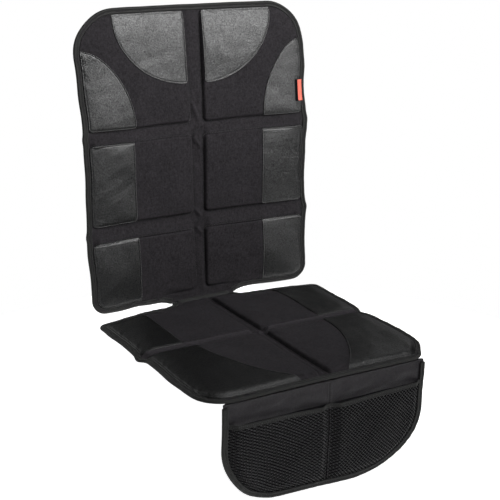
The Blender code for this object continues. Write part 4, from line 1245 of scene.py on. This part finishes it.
FLAP_RIGHT = flap_right()
FLAP_PATH = oriented(FLAP_RIGHT)
FSEC = [(0.0104, 0.0014), (0.0106, 0.0024), (0.0096, 0.0031), (0.0084, 0.0032), (0.0074, 0.0027), (0.0066, 0.0022), (0.0058, 0.0022),
        (0.0048, 0.0028), (0.0036, 0.0033), (0.0022, 0.0032), (0.0009, 0.0024), (0.0002, 0.0012), (0.0, 0.0), (0.0003, -0.0014),
        (0.0012, -0.0024), (0.0030, -0.0028), (0.0052, -0.0026), (0.0062, -0.0023), (0.0072, -0.0026), (0.0090, -0.0028),
        (0.0104, -0.0026), (0.0104, -0.0018), (0.0022, -0.0018), (0.0016, -0.0004), (0.0022, 0.0013)]
keep(sweep("flap_edge_tape", FLAP_PATH, FSEC, put_flap, TAPE, wobble=0.0005, seed=51), "binding_tape", "flap_edge_binding")
keep(stitches("flap_edge_stitches", [offset_open(FLAP_PATH, 0.0062)], put_flap, lambda V: np.full(len(V), 0.0022), THREAD), "binding_tape")

# nets
EDGE_FLAT, RISE = 0.0100, 0.016


def net_height(V):
    u, t = V[:, 0], V[:, 1]
    e = seg_distance(V, FLAP_EDGE, closed=False)
    side = smooth(e, EDGE_FLAT, EDGE_FLAT + RISE)
    mid = smooth(np.abs(u - 0.0025), 0.004, 0.004 + RISE)
    bag = 0.0078 + 0.0018 * np.sin(np.pi * np.clip((t - 0.05) / 0.12, 0, 1))
    bag = bag + 0.0014 * np.sin(u * 58.0 + 0.5) * smooth(t, 0.05, 0.08)
    lip = 0.0030 * gauss(t - 0.045, 0.022) * (gauss(u + 0.150, 0.05) + 0.6 * gauss(u - 0.100, 0.06))
    return 0.0008 + (bag + lip) * side * mid


def net(name, sg, node_name):
    """knitted net: slanting threads between short vertical knots"""
    P = 0.0071
    uu = np.linspace(-0.22, 0.22, 881)
    slope = 0.74 + 0.26 * np.tanh((uu - 0.01) / 0.07)
    k = 1.10 - 0.10 * np.tanh((uu - 0.01) / 0.07)
    Fu = np.cumsum(slope * k) * (uu[1] - uu[0])
    Fu -= np.interp(0.0, uu, Fu)
    n0, n1 = int(Fu[0] / (P / 2)) - 1, int(Fu[-1] / (P / 2)) + 1
    ms = np.arange(4, 70)
    M, N = np.meshgrid(ms, np.arange(n0, n1 + 1), indexing="ij")
    par = (M + N) % 2 == 0
    M, N = M[par], N[par]
    U = np.interp(N * P / 2, Fu, uu)
    T = M * P / 2 / np.interp(U, uu, k)
    U = U + 0.0006 * np.sin(T * 90.0 + U * 40.0)
    T = T + 0.0010 * np.sin(U * 32.0 + 1.0)
    index = {(int(m), int(n)): i for i, (m, n) in enumerate(zip(M, N))}
    V = np.stack([U, T], 1)
    limit = ring(resample(np.vstack([FLAP_EDGE]), 0.003, True), 0.0060)
    ok = inside(V, limit) & (sg * (V[:, 0] - 0.0025) > 0.0008) & (V[:, 1] > mouth(V[:, 0]) + 0.0055)
    knot = 0.0008
    up, down = V - [0, knot], V + [0, knot]
    pairs_a, pairs_b = [], []
    for (m, n), i in index.items():
        if not ok[i]:
            continue
        for dn in (-1, 1):
            j = index.get((m + 1, n + dn))
            if j is not None and ok[j]:
                pairs_a.append(i)
                pairs_b.append(j)
    a, b = down[pairs_a], up[pairs_b]
    mid = (a + b) / 2
    ids = np.where(ok)[0]

    def lay(Q, d=0.0):
        return put_flap(Q[:, 0], Q[:, 1], net_height(Q) + 0.0004 + d)

    A = np.vstack([lay(a), lay(mid), lay(up[ids], 0.00008)])
    B = np.vstack([lay(mid), lay(b), lay(down[ids], 0.00008)])
    q = np.vstack([a, mid, up[ids]])
    Nn = put_flap(q[:, 0], q[:, 1], net_height(q) + 0.0014) - lay(q)
    slant = np.where(b[:, 0] > a[:, 0], 0.00032, 0.00019)
    r = np.concatenate([slant, slant, np.full(len(ids), 0.00040)])
    ob = tubes(name, A, B, Nn, r, NETTING, sides=4, caps=True)
    return keep(ob, "netting", node_name)


net_left = net("pocket_mesh_left", -1, "pocket_net_left")
net_right = net("pocket_mesh_right", 1, "pocket_net_right")

# tape along the mouths of the pockets
TAPE_END = FLAP_HALF - 0.0080
msec = [(0.0, 0.0002), (0.0002, 0.0012), (0.0010, 0.0018), (0.0019, 0.0018), (0.0026, 0.0013), (0.0033, 0.0014), (0.0041, 0.0018),
        (0.0049, 0.0013), (0.0056, 0.0013), (0.0064, 0.0020), (0.0072, 0.0020), (0.0078, 0.0012), (0.0077, 0.0001)]
xs = np.linspace(-TAPE_END, TAPE_END, 190)
hh = net_height(np.stack([xs, mouth(xs) + 0.005], 1))
verts, uvs = [], []
for e, h in msec:
    verts.append(put_flap(xs, mouth(xs) + e, hh + h + 0.0004))
    uvs.append(np.stack([xs, np.full_like(xs, e)], 1))
V = np.stack(verts, 1)
m, n = len(msec), len(xs)
faces = []
for i in range(n - 1):
    for j in range(m):
        a, b = i * m + j, i * m + (j + 1) % m
        faces.append([a, a + m, b + m, b])
faces += [list(range(m)), [(n - 1) * m + j for j in reversed(range(m))]]
keep(new_mesh("pocket_mouth_tape", V.reshape(-1, 3), faces, TAPE, np.stack(uvs, 1).reshape(-1, 2)), "binding_tape", "pocket_top_tape")
row = np.stack([xs, mouth(xs) + 0.0029], 1)
row2 = np.stack([xs, mouth(xs) + 0.0053], 1)
keep(stitches("mouth_stitches", [row, row2], put_flap, lambda V: net_height(np.stack([V[:, 0], mouth(V[:, 0]) + 0.005], 1)) + 0.0017, THREAD),
     "binding_tape")
srow = np.stack([np.full(80, 0.0025), np.linspace(0.004, 0.186, 80)], 1)
keep(stitches("middle_seam_stitches", [srow + [0.0022, 0], srow - [0.0022, 0]], put_flap,
              lambda V: np.where(V[:, 1] > mouth(V[:, 0]), 0.0018, flap_height(V) + 0.0004), THREAD), "woven_cloth")

# ------------------------------------------------------------ stage
FLOOR_Z = -0.1985
me = bpy.data.meshes.new("floor")
ring_pts = [(0.85 * math.cos(2 * math.pi * i / 96), 0.85 * math.sin(2 * math.pi * i / 96), FLOOR_Z) for i in range(96)]
me.from_pydata(ring_pts, [], [tuple(range(96))])
floor_mat, fnt, fb = base_material("pale_floor", (0.90, 0.90, 0.90), 0.9)
fb.inputs["Specular IOR Level"].default_value = 0.0
fb.inputs["Emission Color"].default_value = (1, 1, 1, 1)
fb.inputs["Emission Strength"].default_value = 0.91
me.materials.append(floor_mat)
floor = bpy.data.objects.new("floor", me)
bpy.context.scene.collection.objects.link(floor)

world = bpy.data.worlds.new("studio")
bpy.context.scene.world = world
world.use_nodes = True
wt = world.node_tree
wt.nodes.clear()
out = wt.nodes.new("ShaderNodeOutputWorld")
geo = wt.nodes.new("ShaderNodeTexCoord")
sepw = wt.nodes.new("ShaderNodeSeparateXYZ")
wt.links.new(geo.outputs["Generated"], sepw.inputs[0])
ramp = wt.nodes.new("ShaderNodeValToRGB")
wt.links.new(sepw.outputs[2], ramp.inputs[0])
el = ramp.color_ramp.elements
el[0].position, el[0].color = 0.38, (0.07, 0.07, 0.07, 1)
el[1].position, el[1].color = 0.95, (1.0, 1.0, 1.0, 1)
light = wt.nodes.new("ShaderNodeBackground")
light.inputs["Strength"].default_value = 0.22
wt.links.new(ramp.outputs[0], light.inputs[0])
seen = wt.nodes.new("ShaderNodeBackground")
seen.inputs[0].default_value = (1, 1, 1, 1)
seen.inputs["Strength"].default_value = 1.0
path = wt.nodes.new("ShaderNodeLightPath")
mixw = wt.nodes.new("ShaderNodeMixShader")
wt.links.new(path.outputs["Is Camera Ray"], mixw.inputs[0])
wt.links.new(light.outputs[0], mixw.inputs[1])
wt.links.new(seen.outputs[0], mixw.inputs[2])
wt.links.new(mixw.outputs[0], out.inputs[0])


def softbox(name, loc, aim, size, power, color=(1, 1, 1), spread=180.0):
    ld = bpy.data.lights.new(name, "AREA")
    ld.shape = "RECTANGLE"
    ld.size, ld.size_y = size
    ld.energy = power
    ld.color = color
    ld.spread = math.radians(spread)
    ob = bpy.data.objects.new(name, ld)
    d = Vector(aim) - Vector(loc)
    ob.rotation_euler = d.to_track_quat("-Z", "Y").to_euler()
    ob.location = loc
    bpy.context.scene.collection.objects.link(ob)
    return ob


softbox("key", (1.05, -1.50, 1.28), (0.05, 0.27, 0.60), (1.25, 1.0), 7.0, spread=56.0)
softbox("top", (0.30, -0.95, 1.90), (0.0, 0.27, 0.52), (0.8, 0.8), 5.0, spread=80.0)
softbox("fill", (-1.7, -1.5, 0.9), (0.0, 0.1, 0.15), (1.4, 1.2), 1.0)
softbox("side", (1.55, 0.95, 0.80), (0.20, -0.05, 0.0), (0.7, 0.7), 0.31, spread=70.0)
softbox("rear", (-1.3, 2.4, 0.9), (0.0, 0.3, 0.25), (1.3, 1.1), 16.0)

# ------------------------------------------------------------ camera
AZ, EL, ROLL, DIST, FOCAL = 31.18486, 17.99171, 1.19098, 2.19784, 1199.02
a, e, r = math.radians(AZ), math.radians(EL), math.radians(ROLL)
d = Vector((-math.sin(a) * math.cos(e), -math.cos(a) * math.cos(e), math.sin(e)))
target = Vector((0.01097, 0.07683, 0.14655))
fwd = -d
right = fwd.cross(Vector((0, 0, 1))).normalized()
up = right.cross(fwd)
right2 = right * math.cos(r) + up * math.sin(r)
up2 = -right * math.sin(r) + up * math.cos(r)
cam_data = bpy.data.cameras.new("camera")
cam_data.sensor_width = 36.0
cam_data.lens = FOCAL / 500.0 * 36.0
cam_data.clip_end = 100.0
cam = bpy.data.objects.new("camera", cam_data)
rot = Matrix((right2, up2, d)).transposed()
cam.matrix_world = Matrix.Translation(target + d * DIST) @ rot.to_4x4()
bpy.context.scene.collection.objects.link(cam)
bpy.context.scene.camera = cam

scene = bpy.context.scene
scene.view_settings.view_transform = "Standard"
scene.view_settings.look = "None"
scene.view_settings.exposure = 0.0
scene.view_settings.gamma = 1.0
